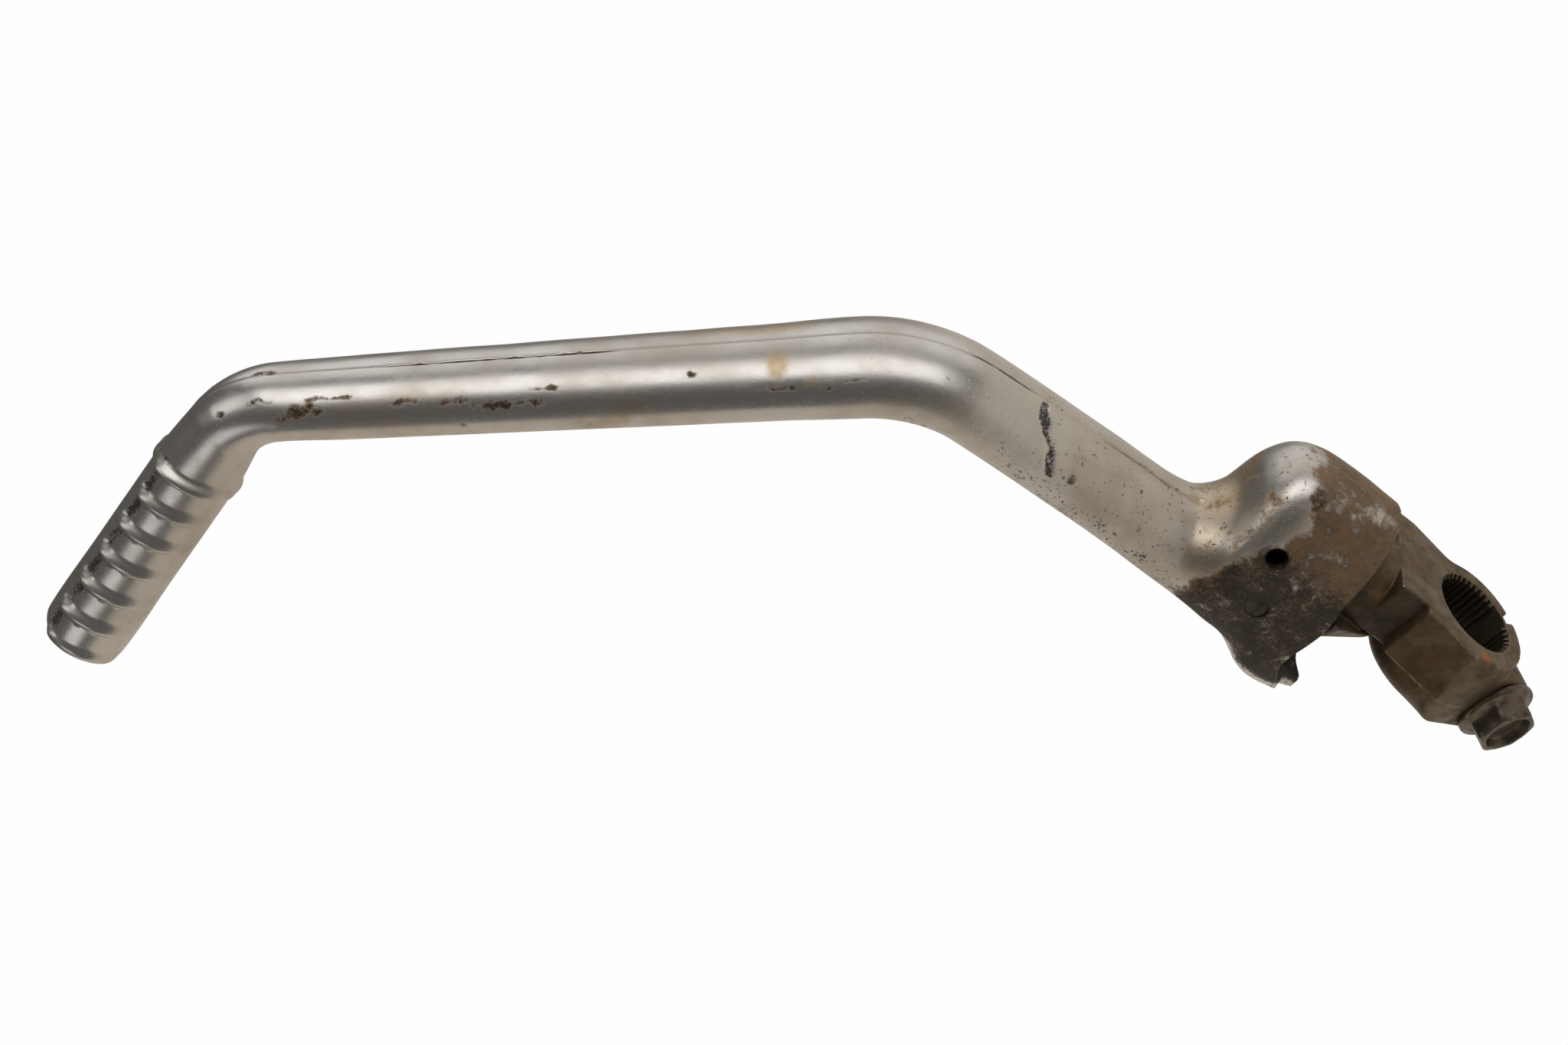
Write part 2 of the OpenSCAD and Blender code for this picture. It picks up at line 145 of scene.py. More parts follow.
def lattice_noise(points: Array, scale: float, seed: int) -> Array:
    """Return value noise from -1 to 1: hashed lattice corners, blended by smooth steps.

    Args:
        points: Points in millimetres, one a row.
        scale: Size of a lattice cell in millimetres.
        seed: Which of the possible patterns.

    Returns:
        One value for each point.
    """
    cell = points / scale
    base = np.floor(cell).astype(np.int64)
    part = cell - base
    part = part * part * (3 - 2 * part)
    total = np.zeros(len(points))
    for corner in np.ndindex(2, 2, 2):
        key = base + np.array(corner)
        mixed = (key * np.array([73856093, 19349663, 83492791])).sum(axis=1) + seed * 2654435761
        mixed = (mixed ^ (mixed >> 13)) * 1274126177
        value = ((mixed ^ (mixed >> 16)) & 0xFFFF) / 32767.5 - 1.0
        share = np.prod(np.where(np.array(corner) == 1, part, 1 - part), axis=1)
        total += value * share
    return total


def grid_quads(rows: int, columns: int, offset: int = 0, wrap: bool = False) -> Array:
    """Return the quads of a grid of points that are numbered row by row.

    Args:
        rows: Number of rows of points.
        columns: Number of points in a row.
        offset: Number of the first point.
        wrap: Whether the last column joins the first.

    Returns:
        An array of quads, four point numbers a row.
    """
    spans = columns if wrap else columns - 1
    i, j = np.meshgrid(np.arange(rows - 1), np.arange(spans), indexing="ij")
    a = i * columns + j
    b = i * columns + (j + 1) % columns
    return np.stack([a, b, b + columns, a + columns], axis=-1).reshape(-1, 4) + offset


def make_piece(
    name: str, points: Array, faces: Sequence[Array], smooth: bool = True
) -> bpy.types.Object:
    """Put points in millimetres and faces into a new object at the origin.

    Args:
        name: Name of the piece.
        points: Points in millimetres, one a row.
        faces: Arrays of quads or triangles.
        smooth: Whether its faces are shaded smooth.

    Returns:
        The new object, linked to the scene.
    """
    mesh = bpy.data.meshes.new(name)
    listed = [face for block in faces for face in block.tolist()]
    mesh.from_pydata((points * MM).tolist(), [], listed)
    mesh.validate()
    mesh.polygons.foreach_set("use_smooth", np.full(len(mesh.polygons), smooth))
    mesh.update()
    piece = bpy.data.objects.new(name, mesh)
    bpy.context.scene.collection.objects.link(piece)
    return piece


def vertex_points(piece: bpy.types.Object) -> Array:
    """Return a piece's vertices in millimetres, one a row."""
    points = np.empty(len(piece.data.vertices) * 3)
    piece.data.vertices.foreach_get("co", points)
    return points.reshape(-1, 3) / MM


def paint(piece: bpy.types.Object, name: str, values: Array) -> None:
    """Store one number for each point of a piece, as an attribute that materials can read."""
    layer = piece.data.attributes.new(name, "FLOAT", "POINT")
    layer.data.foreach_set("value", np.clip(values, 0.0, 1.0).astype(np.float32))


def apply_modifiers(piece: bpy.types.Object) -> None:
    """Make a piece's modifiers part of its mesh."""
    graph = bpy.context.evaluated_depsgraph_get()
    made = bpy.data.meshes.new_from_object(piece.evaluated_get(graph))
    piece.modifiers.clear()
    piece.data = made


def shade_by_angle(piece: bpy.types.Object, degrees: float) -> None:
    """Shade smooth, with sharp edges where two faces meet at more than an angle."""
    piece.data.shade_smooth()
    piece.data.set_sharp_from_angle(angle=np.radians(degrees))


def linear(colour: str) -> tuple[float, float, float, float]:
    """Turn an sRGB hex colour such as #c0b8ae into linear red, green, blue and alpha."""
    parts = np.array([int(colour[i : i + 2], 16) / 255 for i in (1, 3, 5)])
    out = np.where(parts <= 0.04045, parts / 12.92, ((parts + 0.055) / 1.055) ** 2.4)
    return (*out.tolist(), 1.0)


class Shader:
    """A node tree with one short way to add a node."""

    def __init__(self, owner: bpy.types.Material | bpy.types.World) -> None:
        """Start an empty tree in a material or a world."""
        owner.use_nodes = True
        self.owner, self.tree = owner, owner.node_tree
        self.tree.nodes.clear()

    @cached_property
    def place(self) -> bpy.types.NodeSocket:
        """The place of a point on its object."""
        return self.add("ShaderNodeTexCoord").outputs["Object"]

    def feed(self, socket: bpy.types.NodeSocket, value) -> None:
        """Link a socket to an input, or give the input a number or an sRGB hex colour."""
        if isinstance(value, bpy.types.NodeSocket):
            self.tree.links.new(value, socket)
        else:
            socket.default_value = linear(value) if isinstance(value, str) else value

    def add(self, kind: str, inputs: dict | None = None, **settings) -> bpy.types.Node:
        """Add a node with its settings and its inputs.

        Args:
            kind: Blender's name for the node.
            inputs: Sockets, numbers or hex colours, by the name or number of the input.
            **settings: The node's own properties.

        Returns:
            The new node.
        """
        node = self.tree.nodes.new(kind)
        for key, value in settings.items():
            setattr(node, key, value)
        for key, value in (inputs or {}).items():
            self.feed(node.inputs[key], value)
        return node

    def remap(
        self, source, low: float, high: float, to: tuple[float, float] = (0, 1)
    ) -> bpy.types.NodeSocket:
        """Map a value from one range to another, smoothly and clamped."""
        inputs = {"Value": source, "From Min": low, "From Max": high, "To Min": to[0], "To Max": to[1]}
        return self.add("ShaderNodeMapRange", inputs, interpolation_type="SMOOTHSTEP").outputs["Result"]

    def maths(self, operation: str, *values) -> bpy.types.NodeSocket:
        """Combine sockets or numbers by a maths operation."""
        return self.add("ShaderNodeMath", dict(enumerate(values)), operation=operation).outputs[0]

    def times(self, first, second) -> bpy.types.NodeSocket:
        """Multiply two sockets or numbers."""
        return self.maths("MULTIPLY", first, second)

    def total(self, first, second, weight: float = 1.0) -> bpy.types.NodeSocket:
        """Return the first value plus a weight times the second."""
        return self.maths("MULTIPLY_ADD", second, weight, first)

    def noise(
        self, size_mm: float, detail: float, rough: float, warp: float = 0.0, stretch=(1, 1, 1)
    ) -> bpy.types.NodeSocket:
        """Return noise from 0 to 1 whose patches are about a size in millimetres.

        Args:
            size_mm: Size of a patch.
            detail: Number of finer layers.
            rough: How strong each finer layer is.
            warp: How far the pattern is twisted.
            stretch: Scale along X, Y and Z.

        Returns:
            The noise's value.
        """
        place = self.add("ShaderNodeMapping", {"Vector": self.place, "Scale": stretch}).outputs[0]
        inputs = {"Vector": place, "Scale": 1.0 / (size_mm * MM), "Detail": detail, "Roughness": rough}
        return self.add("ShaderNodeTexNoise", {**inputs, "Distortion": warp}).outputs["Fac"]

    def mix(self, factor, first, second) -> bpy.types.NodeSocket:
        """Mix two colours, given as sockets or as sRGB hex strings."""
        return self.add("ShaderNodeMix", {0: factor, 6: first, 7: second}, data_type="RGBA").outputs[2]

    def blend(self, factor, first, second) -> bpy.types.NodeSocket:
        """Mix two numbers, given as sockets or as plain values."""
        return self.add("ShaderNodeMix", {0: factor, 2: first, 3: second}).outputs[0]

    def attribute(self, name: str) -> bpy.types.NodeSocket:
        """Read a number that was painted on the piece."""
        return self.add("ShaderNodeAttribute", attribute_name=name).outputs["Fac"]

    def finish(self, inputs: dict, height: bpy.types.NodeSocket, depth_mm: float) -> bpy.types.Material:
        """Close the tree with a principled shader and a bump.

        Args:
            inputs: The shader's inputs.
            height: Height of the surface relief, from 0 to 1.
            depth_mm: What a height of 1 stands for.

        Returns:
            The finished material.
        """
        relief = self.add("ShaderNodeBump", {"Height": height, "Strength": 1.0, "Distance": depth_mm * MM})
        shader = self.add("ShaderNodeBsdfPrincipled", {**inputs, "Normal": relief.outputs[0]})
        self.add("ShaderNodeOutputMaterial", {"Surface": shader.outputs[0]})
        return self.owner


@dataclass(frozen=True)
class WornPlating:
    """Nickel-plated pressed steel: a soft satin metal with fine pits, scratches, rust and grime.

    Worn plating spreads a lamp into a broad soft band. A thin tan film tints it where lubricant has
    dried, rust breaks through in brown patches, and old grease lies dull and nearly black on top.
    The same near-black colours also paint shade into the holes and inside the hollow shell, and
    the tan film also paints a warm reflection along the foot piece's lower seam.
    """

    name: str = "worn_nickel_plating"
    metal: str = "#c6c2bd"
    tarnish: str = "#b3aba1"
    film_and_reflection: str = "#b59a72"
    rust_light: str = "#7a5c38"
    rust_dark: str = "#463119"
    grime_and_shade: str = "#2a2319"
    grime_and_shade_worn: str = "#5e4f3a"
    pit: str = "#4d443a"
    scratched: str = "#dcd8d2"
    pit_mm: float = 0.9
    speck_mm: float = 0.6
    scratch_mm: float = 0.5

    def build(self) -> bpy.types.Material:
        """Return the material."""
        s = Shader(bpy.data.materials.new(self.name))
        broad = s.noise(24, 3, 0.6)
        patch = s.noise(5.5, 6, 0.7, 0.5)
        fine = s.noise(1.5, 5, 0.7)
        speck = s.noise(self.speck_mm, 3, 0.6)
        spread = s.total(s.total(-0.6, patch, 0.8), fine, 0.4)
        pits = s.remap(s.total(s.noise(self.pit_mm, 4, 0.65, 0.3), s.attribute("pits"), 0.12), 0.69, 0.77)
        pits = s.times(pits, s.remap(s.total(s.attribute("pits"), spread, 1.4), 0.35, 0.8))
        scratch = s.remap(s.noise(self.scratch_mm, 2, 0.5, 0.0, (1, 1, 9)), 0.60, 0.75)
        # The tan channel also carries a painted warm reflection along the foot piece's lower seam.
        film_and_reflection = s.remap(s.total(s.attribute("tan"), spread), 0.15, 0.95)
        rust = s.remap(s.total(s.attribute("rust"), spread, 2.4), 0.28, 0.80)
        rust_tone = s.remap(s.total(patch, fine, 0.4), 0.5, 0.85)
        # The grime channel also carries painted shade: hole walls, the shell's inside and the underside of
        # the arm's root.
        grime_and_shade = s.remap(s.total(s.total(s.attribute("grime_and_shade"), patch, 1.3), speck), 1.45, 1.81)
        grime_and_shade_tone = s.remap(fine, 0.5, 0.75)
        colour = s.mix(s.remap(broad, 0.35, 0.7), self.metal, self.tarnish)
        colour = s.mix(s.times(scratch, 0.3), colour, self.scratched)
        colour = s.mix(s.times(film_and_reflection, 0.85), colour, self.film_and_reflection)
        colour = s.mix(s.times(rust, 0.94), colour, s.mix(rust_tone, self.rust_dark, self.rust_light))
        colour = s.mix(s.times(grime_and_shade, 0.97), colour, s.mix(grime_and_shade_tone, self.grime_and_shade, self.grime_and_shade_worn))
        colour = s.mix(pits, colour, self.pit)
        dirt_and_shade = s.maths("MAXIMUM", s.maths("MAXIMUM", rust, grime_and_shade), pits)
        rough = s.remap(s.total(broad, fine, 0.4), 0.5, 0.9, (0.27, 0.40))
        rough = s.blend(dirt_and_shade, s.blend(film_and_reflection, rough, 0.44), 0.62)
        metallic = s.remap(dirt_and_shade, 0.0, 1.0, (1.0, 0.12))
        height = s.maths("SUBTRACT", 1.0, s.times(dirt_and_shade, s.remap(speck, 0.3, 0.7, (0.4, 1.0))))
        height = s.total(s.total(height, scratch, -0.12), fine, -0.35)
        return s.finish({"Base Color": colour, "Roughness": rough, "Metallic": metallic}, height, 0.05)


@dataclass(frozen=True)
class ForgedSteel:
    """A forged hub whose thin plating has worn to brown-grey steel, with bright edges and dark grease and
    painted shade.
    """

    name: str = "worn_forged_steel"
    base: str = "#6e614d"
    dark: str = "#40372a"
    brown: str = "#604b31"
    edge: str = "#9a9080"
    rust: str = "#9c5a2c"
    oil_and_shade: str = "#211d19"
    grain_mm: float = 0.9

    def build(self) -> bpy.types.Material:
        """Return the material."""
        s = Shader(bpy.data.materials.new(self.name))
        broad = s.noise(11, 4, 0.6, 0.3)
        patch = s.noise(3.2, 5, 0.62)
        grain = s.noise(self.grain_mm, 4, 0.6)
        worn = s.times(s.attribute("wear"), s.remap(grain, 0.35, 0.6))
        rust = s.remap(s.total(s.attribute("rust"), grain, 0.5), 0.62, 0.85)
        colour = s.mix(s.remap(broad, 0.38, 0.62), self.base, self.brown)
        colour = s.mix(s.remap(patch, 0.46, 0.66, (0, 0.55)), colour, self.dark)
        # The dark tone paints shade in the bore and under the knuckle, and darkens the block's face.
        colour = s.mix(s.times(s.attribute("grime_and_shade"), 0.85), colour, self.oil_and_shade)
        colour = s.mix(rust, s.mix(worn, colour, self.edge), self.rust)
        rough = s.remap(s.total(patch, worn, -0.5), 0.2, 0.75, (0.36, 0.58))
        metallic = s.remap(worn, 0.0, 1.0, (0.62, 1.0))
        return s.finish({"Base Color": colour, "Roughness": rough, "Metallic": metallic}, grain, 0.05)


@dataclass(frozen=True)
class PlainSteel:
    """A machined steel piece under old grease: even colour, fine grain and a soft sheen."""

    name: str
    colour: str
    shade: str
    rough: tuple[float, float] = (0.3, 0.5)
    metallic: float = 0.9

    def build(self) -> bpy.types.Material:
        """Return the material."""
        s = Shader(bpy.data.materials.new(self.name))
        patch, grain = s.noise(2.4, 5, 0.6), s.noise(0.5, 3, 0.6)
        colour = s.mix(s.remap(patch, 0.36, 0.80), self.colour, self.shade)
        rough = s.remap(patch, 0.3, 0.7, self.rough)
        return s.finish({"Base Color": colour, "Roughness": rough, "Metallic": self.metallic}, grain, 0.02)


@dataclass(frozen=True)
class Bend:
    """An arc in the XZ plane that rounds a corner between two headings."""

    corner: Array
    start: float
    end: float
    radius: float

    @property
    def tangent(self) -> float:
        """Distance from the corner to where the arc begins and ends."""
        return self.radius * np.tan(np.radians((self.end - self.start) / 2))

    def turned(self, t: float) -> float:
        """Return the heading a share t along the arc."""
        return self.start + (self.end - self.start) * t

    def point(self, t: float) -> Array:
        """Return the point a share t along the arc."""
        ahead, left = Lever.heading(self.start)
        _, side = Lever.heading(self.turned(t))
        return self.corner - ahead * self.tangent + left * self.radius - side * self.radius


@dataclass
class Lever:
    """The two pressed halves, from the foot piece's tip to the knuckle's open rim.

    Sizes and places are in millimetres and slopes in degrees. A noise is a patch size and a seed.
    """

    wall: float = 2.0
    arm_thin: float = 14.2
    arm_thick: float = 17.4
    arm_narrow: float = 19.6
    arm_wide: float = 25.8
    foot_bend: tuple[float, float] = (125.1, 221.5)
    root_bend: tuple[float, float] = (21.5, 127.7)
    root_bend_r: float = 34.0
    foot_bend_r: float = 15.0
    foot_len: float = 73.5
    foot_drop: float = 13.3
    foot_d: float = 18.4
    rib_count: int = 7
    rib_pitch: float = 8.4
    rib_height: float = 1.1
    rib_lean: float = 1.25
    rib_rise: float = 1.3
    rib_fall: float = 2.3
    collar_rib: float = 0.7
    pocket: float = 0.7
    tip_to_rib: float = 4.6
    dome_len: float = 6.4
    rim_z: float = 29.8
    lip_drop: float = 14.6
    lip_out: float = 4.2
    rim_step: float = 1.7
    lip_rise: float = 1.7
    lip_curl: float = 2.6
    skirt: float = 4.5
    knuckle_w: float = 31.1
    knuckle_in: float = 18.15
    root_foot_x: float = 18.2
    knuckle_top: float = 57.8
    root_foot_z: float = 72.0
    ring_step: float = 0.45
    arc_steps: int = 72
    tip_angle: float = 4.0
    seam_round: float = 0.5
    seam_dip: float = 0.16
    bead_rise: float = 0.22
    dent: float = 0.07
    gouge_depth: float = 0.3
    gouge_edge: float = 0.02
    grease_z: float = 51.0
    grease_slope: float = 0.335
    dent_noise: tuple[tuple[float, int], ...] = ((2.2, 3), (3.0, 7), (9.0, 5))
    dirt_noise: tuple[tuple[float, int], ...] = ((13.0, 21), (4.0, 22), (1.5, 24))
    crack_half: float = 0.3
    cracks: tuple[tuple[float, float], ...] = ((154.0, 158.0), (176.0, 228.0), (91.0, 108.0), (60.0, 79.0))
    hole_d: float = 4.9
    hole_z: float = 48.6
    hole_steps: int = 64
    hole_span: tuple[float, float] = (4.0, 24.0)
    pin_hole_d: float = 5.06
    pin_xz: tuple[float, float] = (11.83, 42.5)
    spots: tuple[Stain, ...] = (
        (118.7, 6.8, 222.5, 3.39, 1.2, 0.5),
        (117.0, 9.2, 218.0, 4.24, 1.0, 0.5),
        (112.6, 8.9, 215.3, 5.09, 1.3, 0.6),
        (107.4, 7.0, 212.8, 4.24, 0.6, 0.5),
        (127.0, 6.1, 226.0, 2.88, 0.9, 0.55),
        (98.3, 8.9, 202.8, 2.55, 0.9, 0.55),
        (95.4, 8.6, 200.6, 2.55, 0.9, 0.55),
        (89.4, 9.1, 194.9, 3.68, 1.0, 0.5),
        (83.0, 9.9, 187.9, 7.92, 1.2, 0.72),
        (78.3, 9.5, 184.6, 4.24, 0.6, 0.5),
        (76.1, 8.1, 184.5, 4.24, 0.7, 0.5),
        (90.7, 10.6, 190.3, 4.53, 1.3, 0.35),
        (52.5, 7.5, 164.2, 1.27, 0.9, 0.75),
        (40.6, 10.9, 150.3, 4.24, 0.6, 0.5),
        (33.2, 11.5, 143.2, 2.26, 0.8, 0.5),
        (29.4, 10.8, 141.3, 3.68, 0.5, 0.5),
        (16.0, 11.9, 92.0, 1.27, 1.0, 0.6),
        (116.2, -0.6, 223.1, 3.96, 0.6, 0.5),
        (-13.5, 9.0, 50.5, 2.97, 2.5, 0.55),
    )
    films: tuple[Film, ...] = (
        ((38.9, 6.7, 153.0), (2.6, 4.5, 2.6), 0.75),
        ((35.4, 10.6, 146.5), (2.4, 1.6, 2.4), 0.6),
        ((42.6, -4.7, 157.2), (14.0, 4.0, 14.0), 0.6),
        ((21.0, 8.0, 120.0), (6.0, 6.0, 6.0), 0.45),
        ((127.0, 5.0, 214.0), (5.0, 6.0, 5.0), 0.5),
        ((100.0, 9.0, 197.0), (26.0, 3.0, 26.0), 0.4),
    )
    keys: Array = field(init=False)
    table: Array = field(init=False)

    def __post_init__(self) -> None:
        """Work out the key stations and how far along the lever each one lies."""
        self.table = np.array(self.key_stations())
        centre = (self.table[:, 0:2] + self.table[:, 2:4]) / 2
        self.keys = np.concatenate([[0.0], np.cumsum(np.linalg.norm(np.diff(centre, axis=0), axis=1))])

    @property
    def collar_at(self) -> float:
        """Distance of the last rib, which is the collar, from the tip."""
        return self.tip_to_rib + (self.rib_count - 1) * self.rib_pitch

    @staticmethod
    def heading(degrees: float) -> tuple[Array, Array]:
        """Return the unit vector of a heading in the XZ plane, and the one to its left."""
        angle = np.radians(degrees)
        return np.array([np.cos(angle), np.sin(angle)]), np.array([-np.sin(angle), np.cos(angle)])

    @staticmethod
    def bearing(start: Array, end: Array) -> float:
        """Return the heading from one point of the XZ plane to another, in degrees from 90 to 270."""
        return 180.0 + np.degrees(np.arctan2(start[1] - end[1], start[0] - end[0]))

    def station(self, centre: Array, degrees: float, half: float, width: float) -> list[float]:
        """Return one key station: outer point, inner point, half width, squareness and rim share."""
        _, left = self.heading(degrees)
        return [*(centre + left * half), *(centre - left * half), width, 2.0, 0.0]

    def key_stations(self) -> list[list[float]]:
        """Return the key stations from the tip to the rim.

        The tip is a quarter of an ellipse, each bend is an arc between two straight runs, and the
        knuckle swells from the arm's section to a rounded box with an open lower rim.
        """
        foot, root = np.array(self.foot_bend), np.array(self.root_bend)
        foot_dir = 180.0 - self.foot_drop
        mid_dir = self.bearing(foot, root)
        root_dir = self.bearing(root, np.array([self.root_foot_x, self.root_foot_z]))
        low_r, side_r = self.foot_d / 2 - self.rib_height, self.foot_d / 2 - 0.2
        thin, thick = self.arm_thin / 2, self.arm_thick / 2
        narrow, wide = self.arm_narrow / 2, self.arm_wide / 2
        ahead, _ = self.heading(foot_dir)
        tip = foot - ahead * self.foot_len
        rows: list[list[float]] = []
        for angle in np.radians(np.linspace(self.tip_angle, 90, 12)):
            s, lift = self.dome_len * (1 - np.cos(angle)), np.sin(angle)
            rows.append(self.station(tip + ahead * s, foot_dir, side_r * lift, low_r * lift))
        for s in (self.collar_at * 0.5, self.collar_at - 2.2, self.collar_at + 1.6):
            rows.append(self.station(tip + ahead * s, foot_dir, side_r, low_r))
        bend = Bend(foot, foot_dir, mid_dir, self.foot_bend_r)
        for t in np.linspace(0, 1, 9):
            half, width = low_r + (thin - low_r) * t, low_r + (narrow - low_r) * t
            rows.append(self.station(bend.point(t), bend.turned(t), half, width))
        mid_ahead, _ = self.heading(mid_dir)
        run = float(np.linalg.norm(foot - root))
        low_bend = Bend(root, mid_dir, root_dir, self.root_bend_r)
        for s in np.linspace(bend.tangent, run - low_bend.tangent, 9)[1:-1]:
            half, width = thin + (thick - thin) * s / run, narrow + (wide - narrow) * s / run
            rows.append(self.station(foot + mid_ahead * s, mid_dir, half, width))
        for t in np.linspace(0, 1, 9):
            rows.append(self.station(low_bend.point(t), low_bend.turned(t), thick, wide))
        return rows + self.knuckle_stations()

    def knuckle_stations(self) -> list[list[float]]:
        """Return the key stations from the arm's root to the rim.

        Each row holds the outer rail's place along X past the arm's outer side and along Z, the
        inner rail's place along X and Z, the share of the knuckle's width over the arm's, and the
        squareness of the section. The last rows take on the rim's outline.
        """
        outer, top, inner = self.root_foot_x + self.arm_thick / 2, self.knuckle_top, -self.knuckle_in
        arm_in, rim = outer - self.arm_thick, self.rim_z
        table = (
            (0.4, top + 23, arm_in + 0.5, top + 23, 0.0, 2.0),
            (0.0, top + 12, arm_in, top + 10.5, 0.02, 2.0),
            (0.0, top + 3, arm_in - 1.2, top + 4.6, 0.06, 2.02),
            (0.0, top - 3, arm_in - 4.6, top + 1.2, 0.2, 2.1),
            (0.0, top - 8, 0.0, top - 0.2, 0.42, 2.2),
            (0.0, top - 12, -5.5, top, 0.66, 2.35),
            (0.0, top - 15, inner + 9.5, top - 0.4, 0.82, 2.45),
            (0.1, top - 17.5, inner + 5, top - 2.2, 0.92, 2.45),
            (0.6, top - 20, inner + 1.9, top - 6, 0.97, 2.4),
            (1.6, top - 22.5, inner + 0.6, top - 11, 0.99, 2.35),
            (3.0, top - 25.4, inner + 0.2, top - 16.5, 1.0, 2.3),
            (4.4, top - 29, inner, rim + 6.5, 1.0, 2.2),
            (5.2, top - 32.8, inner, rim + 4, 1.0, 2.15),
            (self.lip_out, rim - self.lip_drop, inner, rim, 1.0, 2.1),
        )
        arm, swell = self.arm_wide / 2, (self.knuckle_w - self.arm_wide) / 2
        rows = [[outer + out, *rest, arm + swell * share, square, 0.0] for out, *rest, share, square in table]
        for row, share in zip(rows[-3:], (0.25, 0.45, 1.0)):
            row[6] = share
        return rows

    def rim_height(self, x: Array, y: Array, side: Half) -> Array:
        """Return the rim's height at a place along X and a distance from the mid-plane.

        The front cheek's rim steps down by a smooth step, falls to the lip as a power of 2.2 and
        curls up before the lip's end. The rear cheek keeps its height further out and then falls
        to a skirt that hangs lowest just behind the seam.
        """
        lip_x = self.root_foot_x + self.arm_thick / 2 + self.lip_out
        seam = self.lip_rise * smoothstep(x, lip_x - 4.0, lip_x)
        if side is Half.REAR:
            near_seam = smoothstep(y, 0.0, 2.5) * smoothstep(y, 9.0, 4.0) * smoothstep(x, 23.0, 28.0)
            return self.rim_z - self.lip_drop * smoothstep(x, 18.0, 27.5) + seam - self.skirt * near_seam
        fall = np.maximum(x - 15.0, 0.0) / (lip_x - 15.0)
        step = self.rim_step * smoothstep(x, -3.0, 8.0)
        curl = self.lip_curl * smoothstep(x, lip_x - 5.6, lip_x - 2.1) * smoothstep(x, lip_x, lip_x - 2.1)
        return self.rim_z - step - (self.lip_drop - self.rim_step) * fall**2.2 + seam + curl

    def surface(self, side: Half) -> Array:
        """Return the grid of points of one half's skin.

        Each ring is a half superellipse between the outer and the inner rail: the in-plane part is
        cos^(2/n) and the width is sin^(2/n). The ribs are bumps along the foot piece that are full
        on the face of the half and fade towards the seam. The last rings are sheared down to the rim.

        Args:
            side: Which half.

        Returns:
            An array of rings by points by coordinates, in millimetres.
        """
        along = np.arange(0.0, self.keys[-1] + self.ring_step / 2, self.ring_step)
        along = np.clip(along, 0.0, self.keys[-1])
        rows = smooth_channel(along, self.keys, self.table)
        outer, inner = rows[:, 0:2], rows[:, 2:4]
        angle = np.linspace(np.pi, 0.0, self.arc_steps + 1)
        power = 2.0 / rows[:, 5][:, None]
        across = np.sign(np.cos(angle)) * np.abs(np.cos(angle)) ** power
        deep = np.abs(np.sin(angle)) ** power
        share = (1 + across) / 2
        x = inner[:, 0:1] + (outer[:, 0:1] - inner[:, 0:1]) * share
        z = inner[:, 1:2] + (outer[:, 1:2] - inner[:, 1:2]) * share
        y = rows[:, 4][:, None] * deep
        outer_x, outer_z, inner_x, inner_z = self.table[-1][:4]
        level = inner_z + (outer_z - inner_z) * (x - inner_x) / (outer_x - inner_x)
        z = z + rows[:, 6][:, None] * (self.rim_height(x, y, side) - level)
        grid = np.stack([x, y, z], axis=-1)
        return self.with_ribs(grid, (outer + inner) / 2, along, deep, across, side)

    def lining(self, outer: Array) -> Array:
        """Return the inner skin: each point moved in by the wall, square to the outer skin.

        The normal is the cross product of the grid's two gradients. At the seam it lies in the
        mid-plane, so that both halves meet there.
        """
        normal = np.cross(np.gradient(outer, axis=0), np.gradient(outer, axis=1))
        normal[:, [0, -1], 1] = 0.0
        normal /= np.maximum(np.linalg.norm(normal, axis=-1, keepdims=True), 1e-9)
        inwards = outer.mean(axis=1, keepdims=True) - outer
        inner = outer + normal * np.sign(np.sum(inwards * normal)) * self.wall
        inner[..., 1] = np.maximum(inner[..., 1], 0.0)
        return inner

    def rib_rings(self, place: Array) -> tuple[Array, Array]:
        """Return how high the ribs and the collar stand, from 0 to 1, at distances from the tip.

        A rib meets the surface in a crease on the tip's side, 1 - |d|^2.4, and falls softly as a
        bump towards the bend. The last rib is the collar.
        """
        rings, collar = np.zeros_like(place), np.zeros_like(place)
        for index in range(self.rib_count):
            offset = place - (self.tip_to_rib + index * self.rib_pitch - 0.4)
            crease = np.clip(1.0 - np.abs(offset / self.rib_rise) ** 2.4, 0.0, 1.0)
            collar = np.where(offset > 0, bump(offset / self.rib_fall), crease)
            rings = np.maximum(rings, collar)
        return rings, collar

    def with_ribs(
        self, grid: Array, centre: Array, along: Array, deep: Array, across: Array, side: Half
    ) -> Array:
        """Return the grid with the ribs raised on it, away from the centreline.

        A rib is full on the face of the half and dies out by the seams, sooner on the rear half.
        On the front half a pocket lies between two ribs beside the upper seam.

        Args:
            grid: The skin's points.
            centre: The centreline's X and Z at each ring.
            along: How far along the lever each ring lies.
            deep: Share of the half width at each point.
            across: Place between the inner rail, -1, and the outer rail, 1.
            side: Which half.

        Returns:
            The raised grid.
        """
        start = self.dome_len * (1 - np.cos(np.radians(self.tip_angle)))
        place = along[:, None] + start - self.rib_lean * across
        rings, collar = self.rib_rings(place)
        first, last = self.tip_to_rib, self.collar_at
        between = smoothstep(place, first, first + 1.5) * smoothstep(place, last, last - 1.0)
        fade = smoothstep(deep, 0.42, 0.9)
        if side is Half.FRONT:
            fade = np.where(across < 0, smoothstep(deep, 0.16, 0.6), fade)
        lift = self.rib_height * rings * fade + self.collar_rib * collar
        if side is Half.FRONT:
            lift -= self.pocket * (1 - rings) * between * bump((deep - 0.42) / 0.3) * (across < 0)
        away = grid - np.stack([centre[:, 0], np.zeros(len(centre)), centre[:, 1]], axis=-1)[:, None, :]
        length = np.maximum(np.linalg.norm(away, axis=-1, keepdims=True), 1e-6)
        return grid + away / length * lift[..., None]

